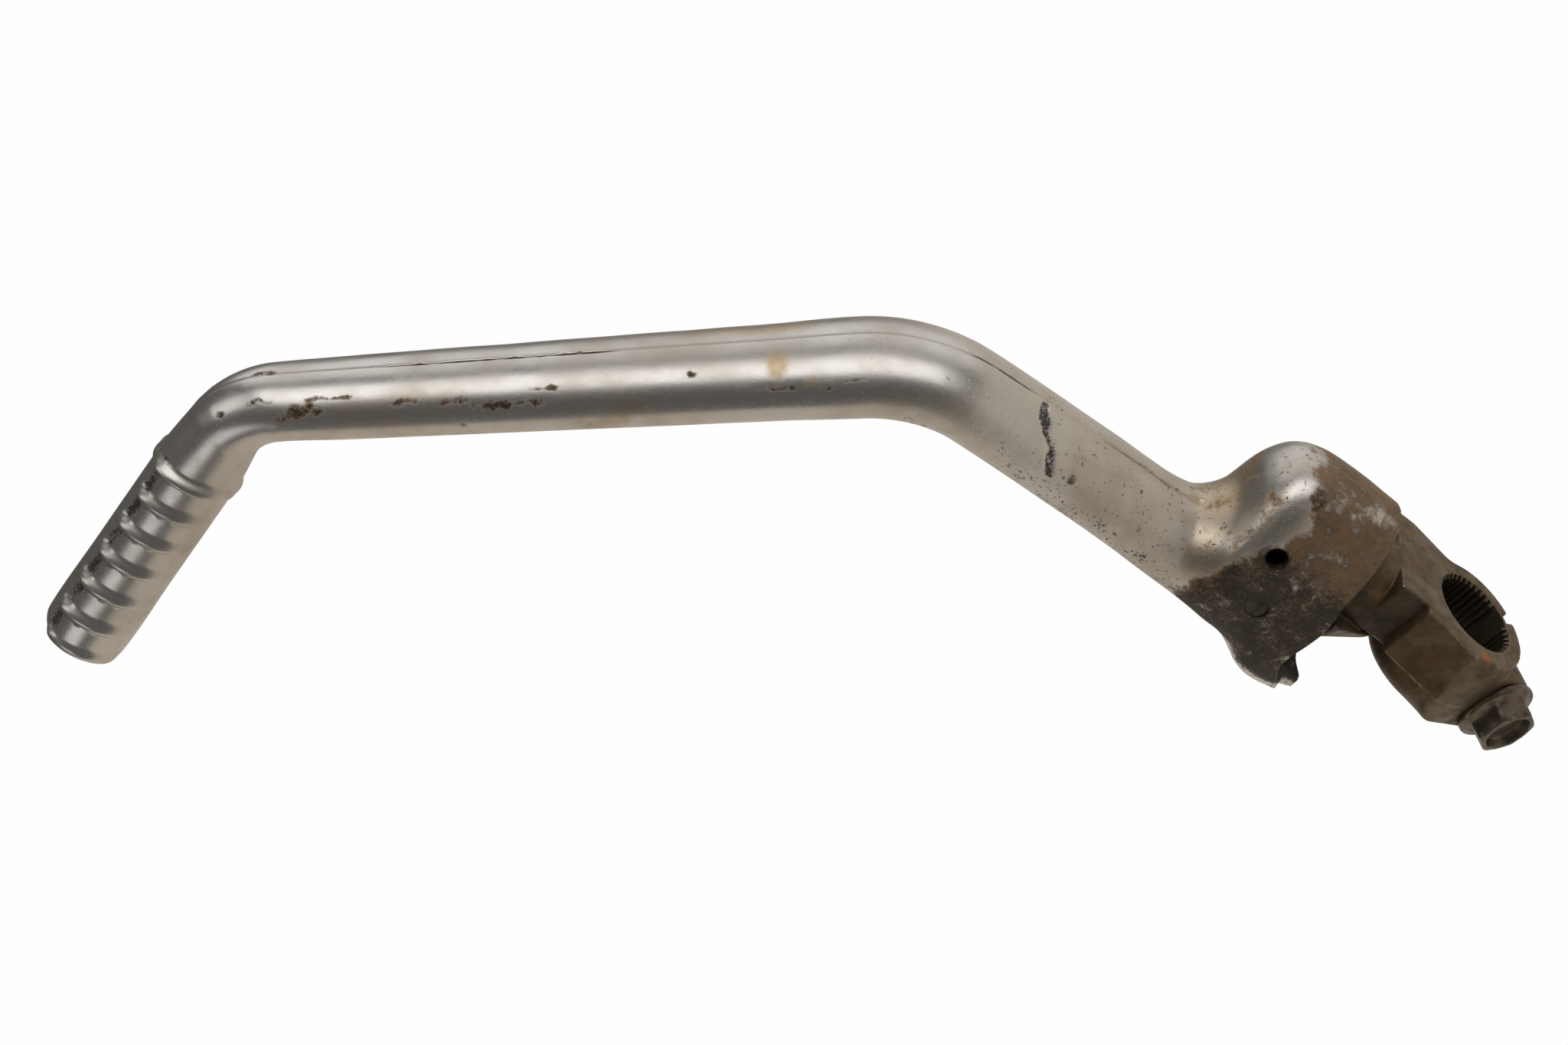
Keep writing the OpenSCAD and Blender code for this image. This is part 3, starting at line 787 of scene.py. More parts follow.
    def build_half(self, side: Half, name: str) -> bpy.types.Object:
        """Return one pressed half as a closed shell, with its inner skin marked.

        Args:
            side: Which half.
            name: Name of the piece.

        Returns:
            The new piece.
        """
        outer = self.surface(side)
        hollow = int(np.ceil((self.dome_len + 1.0) / self.ring_step))
        inner = self.lining(outer)[hollow:]
        outer = self.marked(outer, side)
        rows, columns = outer.shape[:2]
        tip = np.array([outer[0, :, 0].mean() + 0.35, 0.0, outer[0, :, 2].mean() - 0.1])
        ends = np.stack([tip, inner[0].mean(axis=0)])
        points = np.concatenate([outer.reshape(-1, 3), inner.reshape(-1, 3), ends])
        base = rows * columns
        tip_id, cap_id = len(points) - 2, len(points) - 1
        j = np.arange(columns - 1)
        last, inner_last = (rows - 1) * columns, base + (len(inner) - 1) * columns
        faces = [
            grid_quads(rows, columns)[:, ::-1],
            grid_quads(len(inner), columns, base),
            np.stack([np.full(columns - 1, tip_id), j, j + 1], axis=1),
            np.stack([np.full(columns - 1, cap_id), base + j + 1, base + j], axis=1),
            np.stack([last + j, inner_last + j, inner_last + j + 1, last + j + 1], axis=1),
            self.seam_strip(rows, columns, hollow, base, 0),
            self.seam_strip(rows, columns, hollow, base, columns - 1),
            self.seam_end(hollow, columns, base, tip_id),
        ]
        if side is Half.REAR:
            points[:, 1] *= -1
            faces = [block[:, ::-1] for block in faces]
        piece = make_piece(name, points, faces)
        flip_if_inside_out(piece)
        paint(piece, "inner", np.arange(len(points)) >= base)
        return piece

    @staticmethod
    def seam_strip(rows: int, columns: int, hollow: int, base: int, column: int) -> Array:
        """Return the flat seam edge between the outer and the inner skin, along one side."""
        k = np.arange(rows - 1 - hollow)
        outer = (k + hollow) * columns + column
        inner = base + k * columns + column
        strip = np.stack([outer, inner, inner + columns, outer + columns], axis=1)
        return strip if column == 0 else strip[:, ::-1]

    @staticmethod
    def seam_end(hollow: int, columns: int, base: int, tip_id: int) -> Array:
        """Return the solid end of the seam face at the tip, as triangles from the tip's point."""
        k = np.arange(hollow) * columns
        edge = columns - 1
        tips = np.full(hollow, tip_id)
        one = np.stack([tips, k + columns, k], axis=1)
        two = np.stack([tips, k + edge, k + columns + edge], axis=1)
        end = hollow * columns
        middle = [[tip_id, base, end], [tip_id, end + edge, base + edge], [tip_id, base + edge, base]]
        return np.concatenate([one, two, np.array(middle)])

    @staticmethod
    def run_of(points: Array) -> Array:
        """Return how far along the lever a point lies, from the hub towards the foot piece."""
        return 0.69 * (points[..., 0] + 10.6) + 0.724 * points[..., 2]

    def marked(self, grid: Array, side: Half) -> Array:
        """Return the grid with its seam edge rounded in, its open cracks, small dents and the gouge."""
        out = grid.copy()
        out[..., 1] = np.maximum(out[..., 1], 0.0)
        y, run = out[..., 1], self.run_of(out)
        inwards = out.mean(axis=1, keepdims=True) - out
        inwards[..., 1] = 0.0
        inwards /= np.maximum(np.linalg.norm(inwards, axis=-1, keepdims=True), 1e-6)
        open_seam = np.zeros_like(run)
        for start, end in self.cracks:
            crack = smoothstep(run, start, start + 5) * smoothstep(run, end, end - 9)
            open_seam = np.maximum(open_seam, crack)
        points = out.reshape(-1, 3)
        ragged, lumps, dents = (
            lattice_noise(points, size, seed).reshape(run.shape) for size, seed in self.dent_noise
        )
        bead = bump((y - 0.5) / 0.7) * smoothstep(run, 88.0, 66.0)
        depth = self.seam_dip * np.clip(1.0 - y / self.seam_round, 0.0, 1.0) ** 2
        depth = depth - (self.bead_rise + 0.14 * lumps) * bead
        if side is Half.FRONT:
            depth = depth + self.gouge_depth * self.gouge(out)
        out = out + inwards * (depth + self.dent * dents * smoothstep(y, 1.0, 5.0))[..., None]
        gap = self.crack_half * open_seam[:, :1] * (0.7 + 0.5 * ragged[:, :1])
        out[:, :1, 1] = np.maximum(out[:, :1, 1], gap)
        return out

    def gouge(self, grid: Array) -> Array:
        """Return how deep a ragged S-shaped gouge across the front of the root is, from 0 to 1."""
        points = grid.reshape(-1, 3)
        wander = 0.7 * lattice_noise(points, 3.0, 11).reshape(grid.shape[:-1])
        x, y, z = grid[..., 0], grid[..., 1], grid[..., 2]
        middle = 103.0 - 4.6 * smoothstep(x, 12.2, 14.8) - 0.5 * np.maximum(x - 15.0, 0.0) + wander
        width = 1.7 + 0.5 * lattice_noise(points, 2.0, 12).reshape(grid.shape[:-1])
        span = smoothstep(y, 0.2, 1.2) * smoothstep(x, 19.0, 17.0) * (z < 112.0) * (z > 88.0)
        return bump((z - middle) / width) * span

    def dress(self, piece: bpy.types.Object) -> None:
        """Paint tan film, rust, grime, pits, painted shade and a painted reflection by each point's place."""
        points = vertex_points(piece)
        x, y, z = points.T
        run, middle = self.run_of(points), self.below_middle(points)
        wide, fine, ragged = (lattice_noise(points, size, seed) for size, seed in self.dirt_noise)
        tan, rust, grime_and_shade = self.knuckle_dirt(points, wide, fine, ragged)
        tan = np.maximum(tan, 0.34 * smoothstep(run, 122.0, 90.0) * smoothstep(wide, -0.3, 0.6))
        tan = np.maximum(tan, 0.5 * smoothstep(wide, 0.45, 0.9))
        for place, size, depth in self.films:
            away = np.linalg.norm((points - np.array(place)) / np.array(size), axis=1)
            tan = np.maximum(tan, depth * np.clip(1.4 - away + 0.3 * fine, 0.0, 1.0))
        stain = self.stains(points, fine, ragged)
        # The inner skin is painted rust brown, and dark as painted shade everywhere above about 13 mm up, at
        # the lip's lowest end.
        hidden = self.inner_skin(piece)
        rust = np.maximum.reduce([rust, 1.3 * stain, 0.6 * hidden])
        grime_and_shade = np.maximum.reduce([grime_and_shade, 0.85 * stain, 0.8 * hidden * smoothstep(z, 8.0, 13.0)])
        if piece.name.endswith("front_half"):
            grime_and_shade = np.maximum(grime_and_shade, 0.64 * smoothstep(self.gouge(points), self.gouge_edge, 0.5))
        # Painted shade: the walls of both holes are painted fully dark, as if in shadow.
        for hole_x, hole_z in ((0.0, self.hole_z), self.pin_xz):
            reach = np.hypot(x - hole_x, z - hole_z)
            grime_and_shade = np.where((y > 4.0) & (reach < self.pin_hole_d / 2 + 0.09), 1.0, grime_and_shade)
        belly = smoothstep(middle, 0.45, 0.85) * smoothstep(run, 170.0, 110.0)
        underside = smoothstep(middle, -0.5, 0.1) * smoothstep(run, 125.0, 85.0)
        pits = np.maximum.reduce([0.35 + 0.4 * smoothstep(run, 160.0, 60.0), 0.9 * belly, underside])
        # Partly grime and partly painted shade: the lower side of the arm near the root is darkened.
        grime_and_shade = np.maximum(grime_and_shade, (0.22 + 0.14 * fine) * underside * smoothstep(np.abs(y), 1.0, 4.0))
        foot_pocket_dark, foot_reflection_tint = self.foot_pockets_and_reflection(points)
        paint(piece, "tan", np.maximum(tan, foot_reflection_tint))
        paint(piece, "rust", rust)
        paint(piece, "grime_and_shade", np.maximum(grime_and_shade, foot_pocket_dark))
        paint(piece, "pits", pits)

    def knuckle_dirt(
        self, points: Array, wide: Array, fine: Array, ragged: Array
    ) -> tuple[Array, Array, Array]:
        """Return the tan film, rust and grime on the knuckle and in the valley beside the arm.

        Old grease blackens the front cheek below a slanting line past the hole, thinning out
        towards the lip's outer edge, and the engine's side is brown with a lighter worn patch.
        The valley between arm and knuckle holds a tan film, and so does the seam's far side.

        Args:
            points: Points in millimetres.
            wide: Broad noise at the points.
            fine: Fine noise at the points.
            ragged: The finest noise at the points.

        Returns:
            Three numbers for each point.
        """
        x, y, z = points.T
        low = smoothstep(z, 66.0, 52.0)
        below = self.grease_z + self.grease_slope * x - z + 3.2 * wide + 2.2 * fine
        lip_edge = np.maximum(smoothstep(x, 22.0, 12.0), smoothstep(y + 1.8 * fine, 5.5, 11.0))
        cheek = lip_edge * smoothstep(y, 3.0, 8.0) * low
        grime_and_shade = 0.36 * smoothstep(below, -4.0, 2.0) + 0.26 * smoothstep(below, -1.0, 8.0) + 0.14 * fine
        grime_and_shade *= smoothstep(below, -5.0, 0.0) * smoothstep(x, -9.0, 3.0) * cheek
        slant = x + 0.42 * np.clip(z - 45.0, 0.0, 13.0)
        engine = smoothstep(slant + 4.2 * fine + 2.0 * wide + 2.4 * ragged, -4.5, -13.5)
        engine = engine * smoothstep(z + 2.0 * fine, 55.0, 48.0)
        worn = blob(points, (-14.5, 8.0, 38.0), (3.0, 4.0, 5.0))
        valley = blob(points, (5.0, 0.0, 62.0), (9.0, np.inf, 7.0))
        dome = blob(points, (-5.0, 0.0, 56.0), (9.0, np.inf, 6.0)) * smoothstep(wide + fine, -0.7, 0.4)
        rusts = [
            (0.85 * (1 - 0.8 * worn) + 0.25 * fine) * engine,
            (0.86 + 0.2 * fine) * smoothstep(below, -2.5, 3.0) * cheek,
            0.40 * low * smoothstep(wide + fine, -0.7, 0.8),
            (0.46 + 0.3 * ragged) * dome,
            0.44 * valley * smoothstep(fine, -0.3, 0.6),
        ]
        tan = 0.46 * valley + 0.42 * smoothstep(z, 70.0, 57.0) * smoothstep(wide, -0.5, 0.6)
        return np.maximum(tan, 0.55 * dome), np.maximum.reduce(rusts), grime_and_shade

    def stains(self, points: Array, fine: Array, ragged: Array) -> Array:
        """Return how strong the stains are that lie lengthwise on the arm, at each point."""
        arm = np.array([self.foot_bend[0] - self.root_bend[0], 0.0, self.foot_bend[1] - self.root_bend[1]])
        arm /= np.linalg.norm(arm)
        total = np.zeros(len(points))
        for *place, length, width, depth in self.spots:
            offset = points - np.array(place)
            along = offset @ arm
            across = np.linalg.norm(offset - along[:, None] * arm, axis=1)
            away = np.hypot(along / length, across / width)
            stain = np.clip(1.4 - away + 0.6 * ragged + 0.3 * fine, 0.0, 1.0)
            total = np.maximum(total, depth * stain)
        return total

    @staticmethod
    def inner_skin(piece: bpy.types.Object) -> Array:
        """Read the mark that tells the inner skin's points from the outer skin's."""
        values = np.empty(len(piece.data.vertices))
        piece.data.attributes["inner"].data.foreach_get("value", values)
        return values

    def foot_pockets_and_reflection(self, points: Array) -> tuple[Array, Array]:
        """Return a darkening in the pockets between the ribs, and a painted warm reflection along the lower
        seam.
        """
        x, y, z = points.T
        ahead, left = self.heading(180.0 - self.foot_drop)
        place = np.stack([x - self.foot_bend[0], z - self.foot_bend[1]], axis=1)
        along = self.foot_len + place @ ahead
        lower = place @ left
        reach = np.maximum(np.hypot(lower, y), 1e-6)
        deep, across = np.abs(y) / reach, lower / reach
        rings, _ = self.rib_rings(along - self.rib_lean * across)
        on_foot = smoothstep(along, 4.0, 6.5) * smoothstep(along, 58.0, 55.0)
        # Darkens the pockets between the ribs on the upper side of the front half.
        pockets = 0.62 * (1 - rings) ** 2 * bump((deep - 0.42) / 0.34) * on_foot * (y > 0)
        grime_and_shade = np.where(across < 0, pockets, 0.0)
        # Painted warm reflection: a tan tint along the lower side of the foot piece, towards the lower seam.
        film_and_reflection = np.where(across > 0, 0.3 * smoothstep(across, 0.1, 0.6), 0.0) * smoothstep(along, -2.0, 3.0)
        return np.clip(grime_and_shade, 0, 1), film_and_reflection * smoothstep(along, 90.0, 60.0)

    def below_middle(self, points: Array) -> Array:
        """Return how far a point lies from the centreline towards the outer rail, as a share."""
        x, _, z = points.T
        root, foot = np.array(self.root_bend), np.array(self.foot_bend)
        ahead = (foot - root) / np.linalg.norm(foot - root)
        off_arm = (x - root[0]) * ahead[1] - (z - root[1]) * ahead[0]
        off_root = x - 19.8
        return np.where(z > root[1], off_arm, off_root) / (self.arm_thick / 2)

    def cut_hole(self, piece: bpy.types.Object, x: float, z: float, diameter: float) -> None:
        """Cut a round hole square to the mid-plane through the half that a piece stands for."""
        count, radius = self.hole_steps, diameter / 2
        angle = np.linspace(0, 2 * np.pi, count, endpoint=False)
        ring_x, ring_z = x + radius * np.cos(angle), z + radius * np.sin(angle)
        near, far = (np.stack([ring_x, np.full(count, y), ring_z], axis=1) for y in self.hole_span)
        ids = np.arange(count)
        faces = [grid_quads(2, count, 0, True), ids[None, :], (ids + count)[None, ::-1]]
        cutter = make_piece("hole_cutter", np.concatenate([near, far]), faces, False)
        flip_if_inside_out(cutter)
        cut = piece.modifiers.new("hole", "BOOLEAN")
        cut.operation, cut.solver, cut.object = "DIFFERENCE", "EXACT", cutter
        apply_modifiers(piece)
        bpy.data.objects.remove(cutter)
        shade_by_angle(piece, 40)

    def build(self, finish: WornPlating) -> None:
        """Build, cut and dress both halves."""
        plating = finish.build()
        for side, node in ((Half.FRONT, "lever_front_half"), (Half.REAR, "lever_rear_half")):
            piece = self.build_half(side, "plated_" + node)
            if side is Half.FRONT:
                self.cut_hole(piece, 0.0, self.hole_z, self.hole_d)
                self.cut_hole(piece, *self.pin_xz, self.pin_hole_d)
            self.dress(piece)
            shade_by_angle(piece, 38)
            piece.data.materials.clear()
            piece.data.materials.append(plating)
            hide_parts(node)
            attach(piece, "lever")
            LOG.info("%s: %d faces", piece.name, len(piece.data.polygons))


def flip_if_inside_out(piece: bpy.types.Object) -> None:
    """Turn a closed mesh's faces round if the volume that they enclose comes out negative."""
    mesh = piece.data
    mesh.calc_loop_triangles()
    corners = np.empty(len(mesh.loop_triangles) * 3, dtype=np.int32)
    mesh.loop_triangles.foreach_get("vertices", corners)
    a, b, c = vertex_points(piece)[corners.reshape(-1, 3)].transpose(1, 0, 2)
    if np.einsum("ij,ij->", a, np.cross(b, c)) < 0:
        mesh.flip_normals()


def smooth_min(first: Array, second: Array, blend: float) -> Array:
    """Join two distance fields with a fillet: the polynomial smooth minimum."""
    h = np.clip(0.5 + 0.5 * (second - first) / blend, 0.0, 1.0)
    return second + (first - second) * h - blend * h * (1 - h)


def smooth_max(first: Array, second: Array, blend: float) -> Array:
    """Cut or meet two distance fields with a rounded edge."""
    return -smooth_min(-first, -second, blend)


@dataclass
class Hub:
    """The forged hub: splined boss, clamp lugs, square block, collar and post, in millimetres."""

    boss_d: float = 26.4
    boss_len: float = 21.2
    bore_d: float = 19.9
    tip_d: float = 18.4
    splines: int = 40
    front_bulge: float = 1.2
    block_top: float = 22.0
    block_front: float = 10.2
    block_rear: float = 15.2
    block_out: float = 4.0
    block_flare: float = 2.4
    front_slope: float = 0.22
    rear_slope: float = 0.30
    rear_straight: float = 5.0
    ledge_z: float = 14.2
    edge_round: float = 0.5
    belly_round: float = 2.4
    outer_round: float = 7.0
    shoulder_d: float = 31.0
    shoulder_low: float = 16.4
    shoulder_h: float = 9.9
    shoulder_taper: float = 6.0
    collar_top: float = 27.6
    post_d: float = 21.2
    post_top: float = 52.5
    clamp_turn: float = 34.0
    slit: float = 2.4
    bolt_x: float = 2.4
    bolt_offset: float = 13.4
    bolt_hole_r: float = 4.05
    lug_d: float = 16.4
    seat: float = 13.4
    lug_low: float = 10.5
    lug_fillet: float = 2.6
    lining_end: float = 8.8
    cell: float = 0.4

    def clamp_axes(self) -> tuple[Array, Array]:
        """Return the slit's direction away from the shaft, and the direction that the bolt's head faces."""
        turn = np.radians(self.clamp_turn)
        return np.array([0.0, -np.sin(turn), -np.cos(turn)]), np.array([0.0, np.cos(turn), -np.sin(turn)])

    def field(self, p: Array) -> Array:
        """Return the signed distance to the hub's surface, in millimetres and negative inside.

        It is a union of cylinders, a box and a cone with fillets between them, less the bore, the
        slit and the bolt's hole.

        Args:
            p: Points in millimetres, coordinates last.

        Returns:
            One distance for each point.
        """
        x, y, z = p[..., 0], p[..., 1], p[..., 2]
        soft = self.edge_round
        solid = smooth_max(self.profile(y, z), self.barrel(x, y, z), self.belly_round)
        solid = smooth_max(solid, -self.boss_len / 2 - x, soft)
        solid = smooth_min(solid, self.shoulder(x, y, z), 1.0)
        milled = np.maximum.reduce([self.block_front - y, self.ledge_z - z, x - self.block_out])
        solid = smooth_max(solid, -milled, soft)
        post = smooth_max(np.hypot(x, y) - self.post_d / 2, z - self.post_top, 1.0)
        solid = smooth_min(solid, np.maximum(post, self.block_top - 2.0 - z), soft)
        away, facing = self.clamp_axes()
        s = y * away[1] + z * away[2]
        b = y * facing[1] + z * facing[2]
        lug = np.hypot(x - self.bolt_x, s - np.clip(s, 0.0, self.bolt_offset)) - self.lug_d / 2
        lug = smooth_max(lug, np.maximum(b - self.seat, -self.lug_low - b), 1.0)
        solid = smooth_min(solid, lug, self.lug_fillet)
        solid = smooth_max(solid, self.bore_d / 2 - np.hypot(y, z), soft)
        gap = np.maximum(np.abs(b) - self.slit / 2, self.tip_d / 4 - s)
        solid = smooth_max(solid, -gap, 0.4)
        hole = self.bolt_hole_r - np.hypot(x - self.bolt_x, s - self.bolt_offset)
        return np.maximum(solid, np.where(s < 0, -1e3, hole))

    def profile(self, y: Array, z: Array) -> Array:
        """Return the distance to the outline seen along the shaft: a boss that rises into a block."""
        boss_r = self.boss_d / 2
        boss = smooth_min(np.hypot(y, z) - boss_r, np.hypot(y - self.front_bulge, z) - boss_r, 1.5)
        front = self.block_front + self.block_flare + (self.ledge_z - z) * self.front_slope
        waist = np.maximum(self.block_top - self.rear_straight - z, 0.0)
        rear = (-y - self.block_rear) * 0.92 + waist * self.rear_slope
        tower = smooth_max(np.maximum(y - front, rear), np.maximum(z - self.block_top, -z), 0.3)
        return smooth_min(boss, tower, 1.6)

    def barrel(self, x: Array, y: Array, z: Array) -> Array:
        """Return the distance to a barrel round the shaft whose outer end is a quarter of a torus."""
        reach = np.hypot(y, z) - (self.boss_d / 2 - self.outer_round + self.front_bulge)
        depth = x - (self.boss_len / 2 - self.outer_round)
        corner = np.hypot(np.maximum(reach, 0.0), np.maximum(depth, 0.0)) - self.outer_round
        return np.where(depth > 0, corner, -10.0)

    def shoulder(self, x: Array, y: Array, z: Array) -> Array:
        """Return the distance to the shoulder under the rim, which stands on the outer side only."""
        low, high = self.shoulder_low, self.shoulder_h
        taper = self.shoulder_taper * np.clip((low + high - z) / high, 0.0, 1.0)
        round_side = np.hypot(x, y) - self.shoulder_d / 2 + taper
        level = np.maximum(z - self.collar_top, low - z)
        return smooth_max(smooth_max(round_side, level, 0.8), self.block_out - x, self.edge_round)

    def mesh_arrays(self) -> tuple[Array, Array]:
        """Return the points and quads of the field's zero surface, by surface nets.

        Each grid cell that the surface crosses gets one point, at the mean of its edges' crossings,
        and each grid edge that the surface crosses gives one quad of the four cells round it.
        """
        low = np.array([-12.0, -21.0, -27.0])
        high = np.array([17.0, 21.0, 54.0])
        count = np.ceil((high - low) / self.cell).astype(int) + 1
        axes = [low[i] + self.cell * np.arange(count[i]) for i in range(3)]
        grid = np.stack(np.meshgrid(*axes, indexing="ij"), axis=-1)
        value = self.field(grid)
        inside = value < 0
        cells = tuple(n - 1 for n in count)
        total = np.zeros(cells + (3,))
        hits = np.zeros(cells)
        quads: list[Array] = []
        number = np.full(cells, -1)
        corners = list(np.ndindex(2, 2, 2))
        crossed = np.zeros(cells, dtype=bool)
        for corner in corners:
            crossed |= self.shifted(inside, corner, cells) != self.shifted(inside, (0, 0, 0), cells)
        number[crossed] = np.arange(int(crossed.sum()))
        for axis in range(3):
            for corner in corners:
                if corner[axis]:
                    continue
                other = tuple(c + (1 if i == axis else 0) for i, c in enumerate(corner))
                first, second = self.shifted(value, corner, cells), self.shifted(value, other, cells)
                cut = (first < 0) != (second < 0)
                t = np.where(cut, first / np.where(cut, first - second, 1.0), 0.0)
                place = np.array(corner, dtype=float) + t[..., None] * np.eye(3)[axis]
                total += np.where(cut[..., None], place, 0.0)
                hits += cut
            quads.append(self.edge_quads(inside, number, axis))
        index = np.stack(np.nonzero(crossed), axis=-1)
        points = low + self.cell * (index + total[crossed] / hits[crossed][:, None])
        return points, np.concatenate(quads)

    @staticmethod
    def shifted(block: Array, corner: tuple[int, ...], cells: tuple[int, ...]) -> Array:
        """Return the part of a grid that holds one corner of every cell."""
        return block[tuple(slice(c, c + n) for c, n in zip(corner, cells))]

    @staticmethod
    def edge_quads(inside: Array, number: Array, axis: int) -> Array:
        """Return one quad for each grid edge along an axis that the surface crosses."""
        u, v = (axis + 1) % 3, (axis + 2) % 3
        ahead = [slice(None)] * 3
        ahead[axis] = slice(1, None)
        behind = [slice(None)] * 3
        behind[axis] = slice(None, -1)
        change = inside[tuple(behind)] != inside[tuple(ahead)]
        at = np.stack(np.nonzero(change), axis=-1)
        keep = (at[:, u] > 0) & (at[:, v] > 0) & (at[:, u] < number.shape[u]) & (at[:, v] < number.shape[v])
        at = at[keep]
        leaving = inside[tuple(at.T)]
        step_u, step_v = np.eye(3, dtype=int)[u], np.eye(3, dtype=int)[v]
        ring = [at - step_u - step_v, at - step_v, at, at - step_u]
        quad = np.stack([number[tuple(corner.T)] for corner in ring], axis=1)
        quad[~leaving] = quad[~leaving][:, ::-1]
        return quad

    def dress(self, piece: bpy.types.Object) -> None:
        """Paint worn edges, one rust spot, darkening and painted shade from each point's place on the hub."""
        points = vertex_points(piece)
        x, y, z = points.T
        step = 0.8
        moves = step * np.concatenate([np.eye(3), -np.eye(3)])
        sharp = np.sum([self.field(points + move) for move in moves], axis=0) / step
        wear = smoothstep(sharp, 0.5, 1.7) * smoothstep(lattice_noise(points, 3.5, 31), -0.7, 0.3)
        wear *= np.where((x > self.block_out) & (z > self.ledge_z), 0.15, 1.0)
        # Darkens the block's milled front face.
        face = smoothstep(y, self.block_front - 0.8, self.block_front - 0.1) * smoothstep(y, 11.0, 10.5)
        block = face * smoothstep(z, 14.0, 14.8) * smoothstep(x, 4.6, 3.8)
        # Painted shade: the bore is dark from just inside its mouth.
        bore = smoothstep(np.hypot(y, z), 10.8, 9.9) * smoothstep(x, -10.4, -9.0)
        # Painted shade: the hub is darkened from 24 mm up, under the knuckle's rim.
        grime_and_shade = np.maximum.reduce([0.8 * block, bore, 0.6 * smoothstep(z, 24.0, 26.5)])
        paint(piece, "wear", wear)
        paint(piece, "grime_and_shade", grime_and_shade + 0.12 * lattice_noise(points, 6.0, 32))
        paint(piece, "rust", 0.75 * blob(points, (-10.6, 12.9, -2.2), (2.0, 2.0, 2.0)))

    def build_splines(self) -> tuple[Array, Array]:
        """Return the toothed lining of the bore: a closed sleeve whose inner radius follows the teeth.

        The inner radius is the root radius less the tooth height times a raised, flattened cosine,
        and the teeth are left out next to the slit.
        """
        around = self.splines * 16
        angle = np.linspace(0, 2 * np.pi, around, endpoint=False)
        away, _ = self.clamp_axes()
        off = np.abs((angle - np.arctan2(away[2], away[1]) + np.pi) % (2 * np.pi) - np.pi)
        tooth = smoothstep(np.cos(angle * self.splines), -0.35, 0.45) * smoothstep(off, 0.22, 0.26)
        root_r, start, end = self.bore_d / 2, -self.boss_len / 2, self.lining_end
        height = (self.bore_d - self.tip_d) / 2 * tooth
        stops = ((start + 0.15, 0.0), (start + 0.9, 1.0), (end - 0.8, 1.0), (end, 0.0))
        rings = [(at, root_r - height * share) for at, share in stops]
        rings += [(at, np.full(around, root_r + 0.8)) for at, _ in stops[::-1]]
        y, z = np.cos(angle), np.sin(angle)
        points = [np.stack([np.full(around, at), r * y, r * z], axis=1) for at, r in rings]
        quads = grid_quads(len(rings), around, 0, True)
        first, last = quads[:around], quads[-around:]
        close = np.stack([last[:, 3], last[:, 2], first[:, 1], first[:, 0]], axis=1)
        return np.concatenate(points), np.concatenate([quads, close])

    def build(self, finish: ForgedSteel) -> None:
        """Build and dress the hub and its toothed bore."""
        points, quads = self.mesh_arrays()
        piece = make_piece("forged_hub", points, [quads])
        flip_if_inside_out(piece)
        relax = piece.modifiers.new("relax", "SMOOTH")
        relax.factor, relax.iterations = 0.5, 2
        apply_modifiers(piece)
        self.dress(piece)
        shade_by_angle(piece, 50)
        material = finish.build()
        piece.data.materials.append(material)
        lining_points, lining_quads = self.build_splines()
        lining = make_piece("splined_bore", lining_points, [lining_quads])
        flip_if_inside_out(lining)
        shade_by_angle(lining, 30)
        # Grease on the splines, and darker deeper in the bore as painted shade.
        paint(lining, "grime_and_shade", 0.5 + 0.5 * smoothstep(lining_points[:, 0], -10.4, -8.5))
        paint(lining, "wear", 0.2 * smoothstep(lining_points[:, 0], -9.9, -10.4))
        paint(lining, "rust", np.zeros(len(lining_points)))
        lining.data.materials.append(material)
        for made in (piece, lining):
            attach(made, "hub")
            LOG.info("%s: %d faces", made.name, len(made.data.polygons))
        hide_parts("hub")


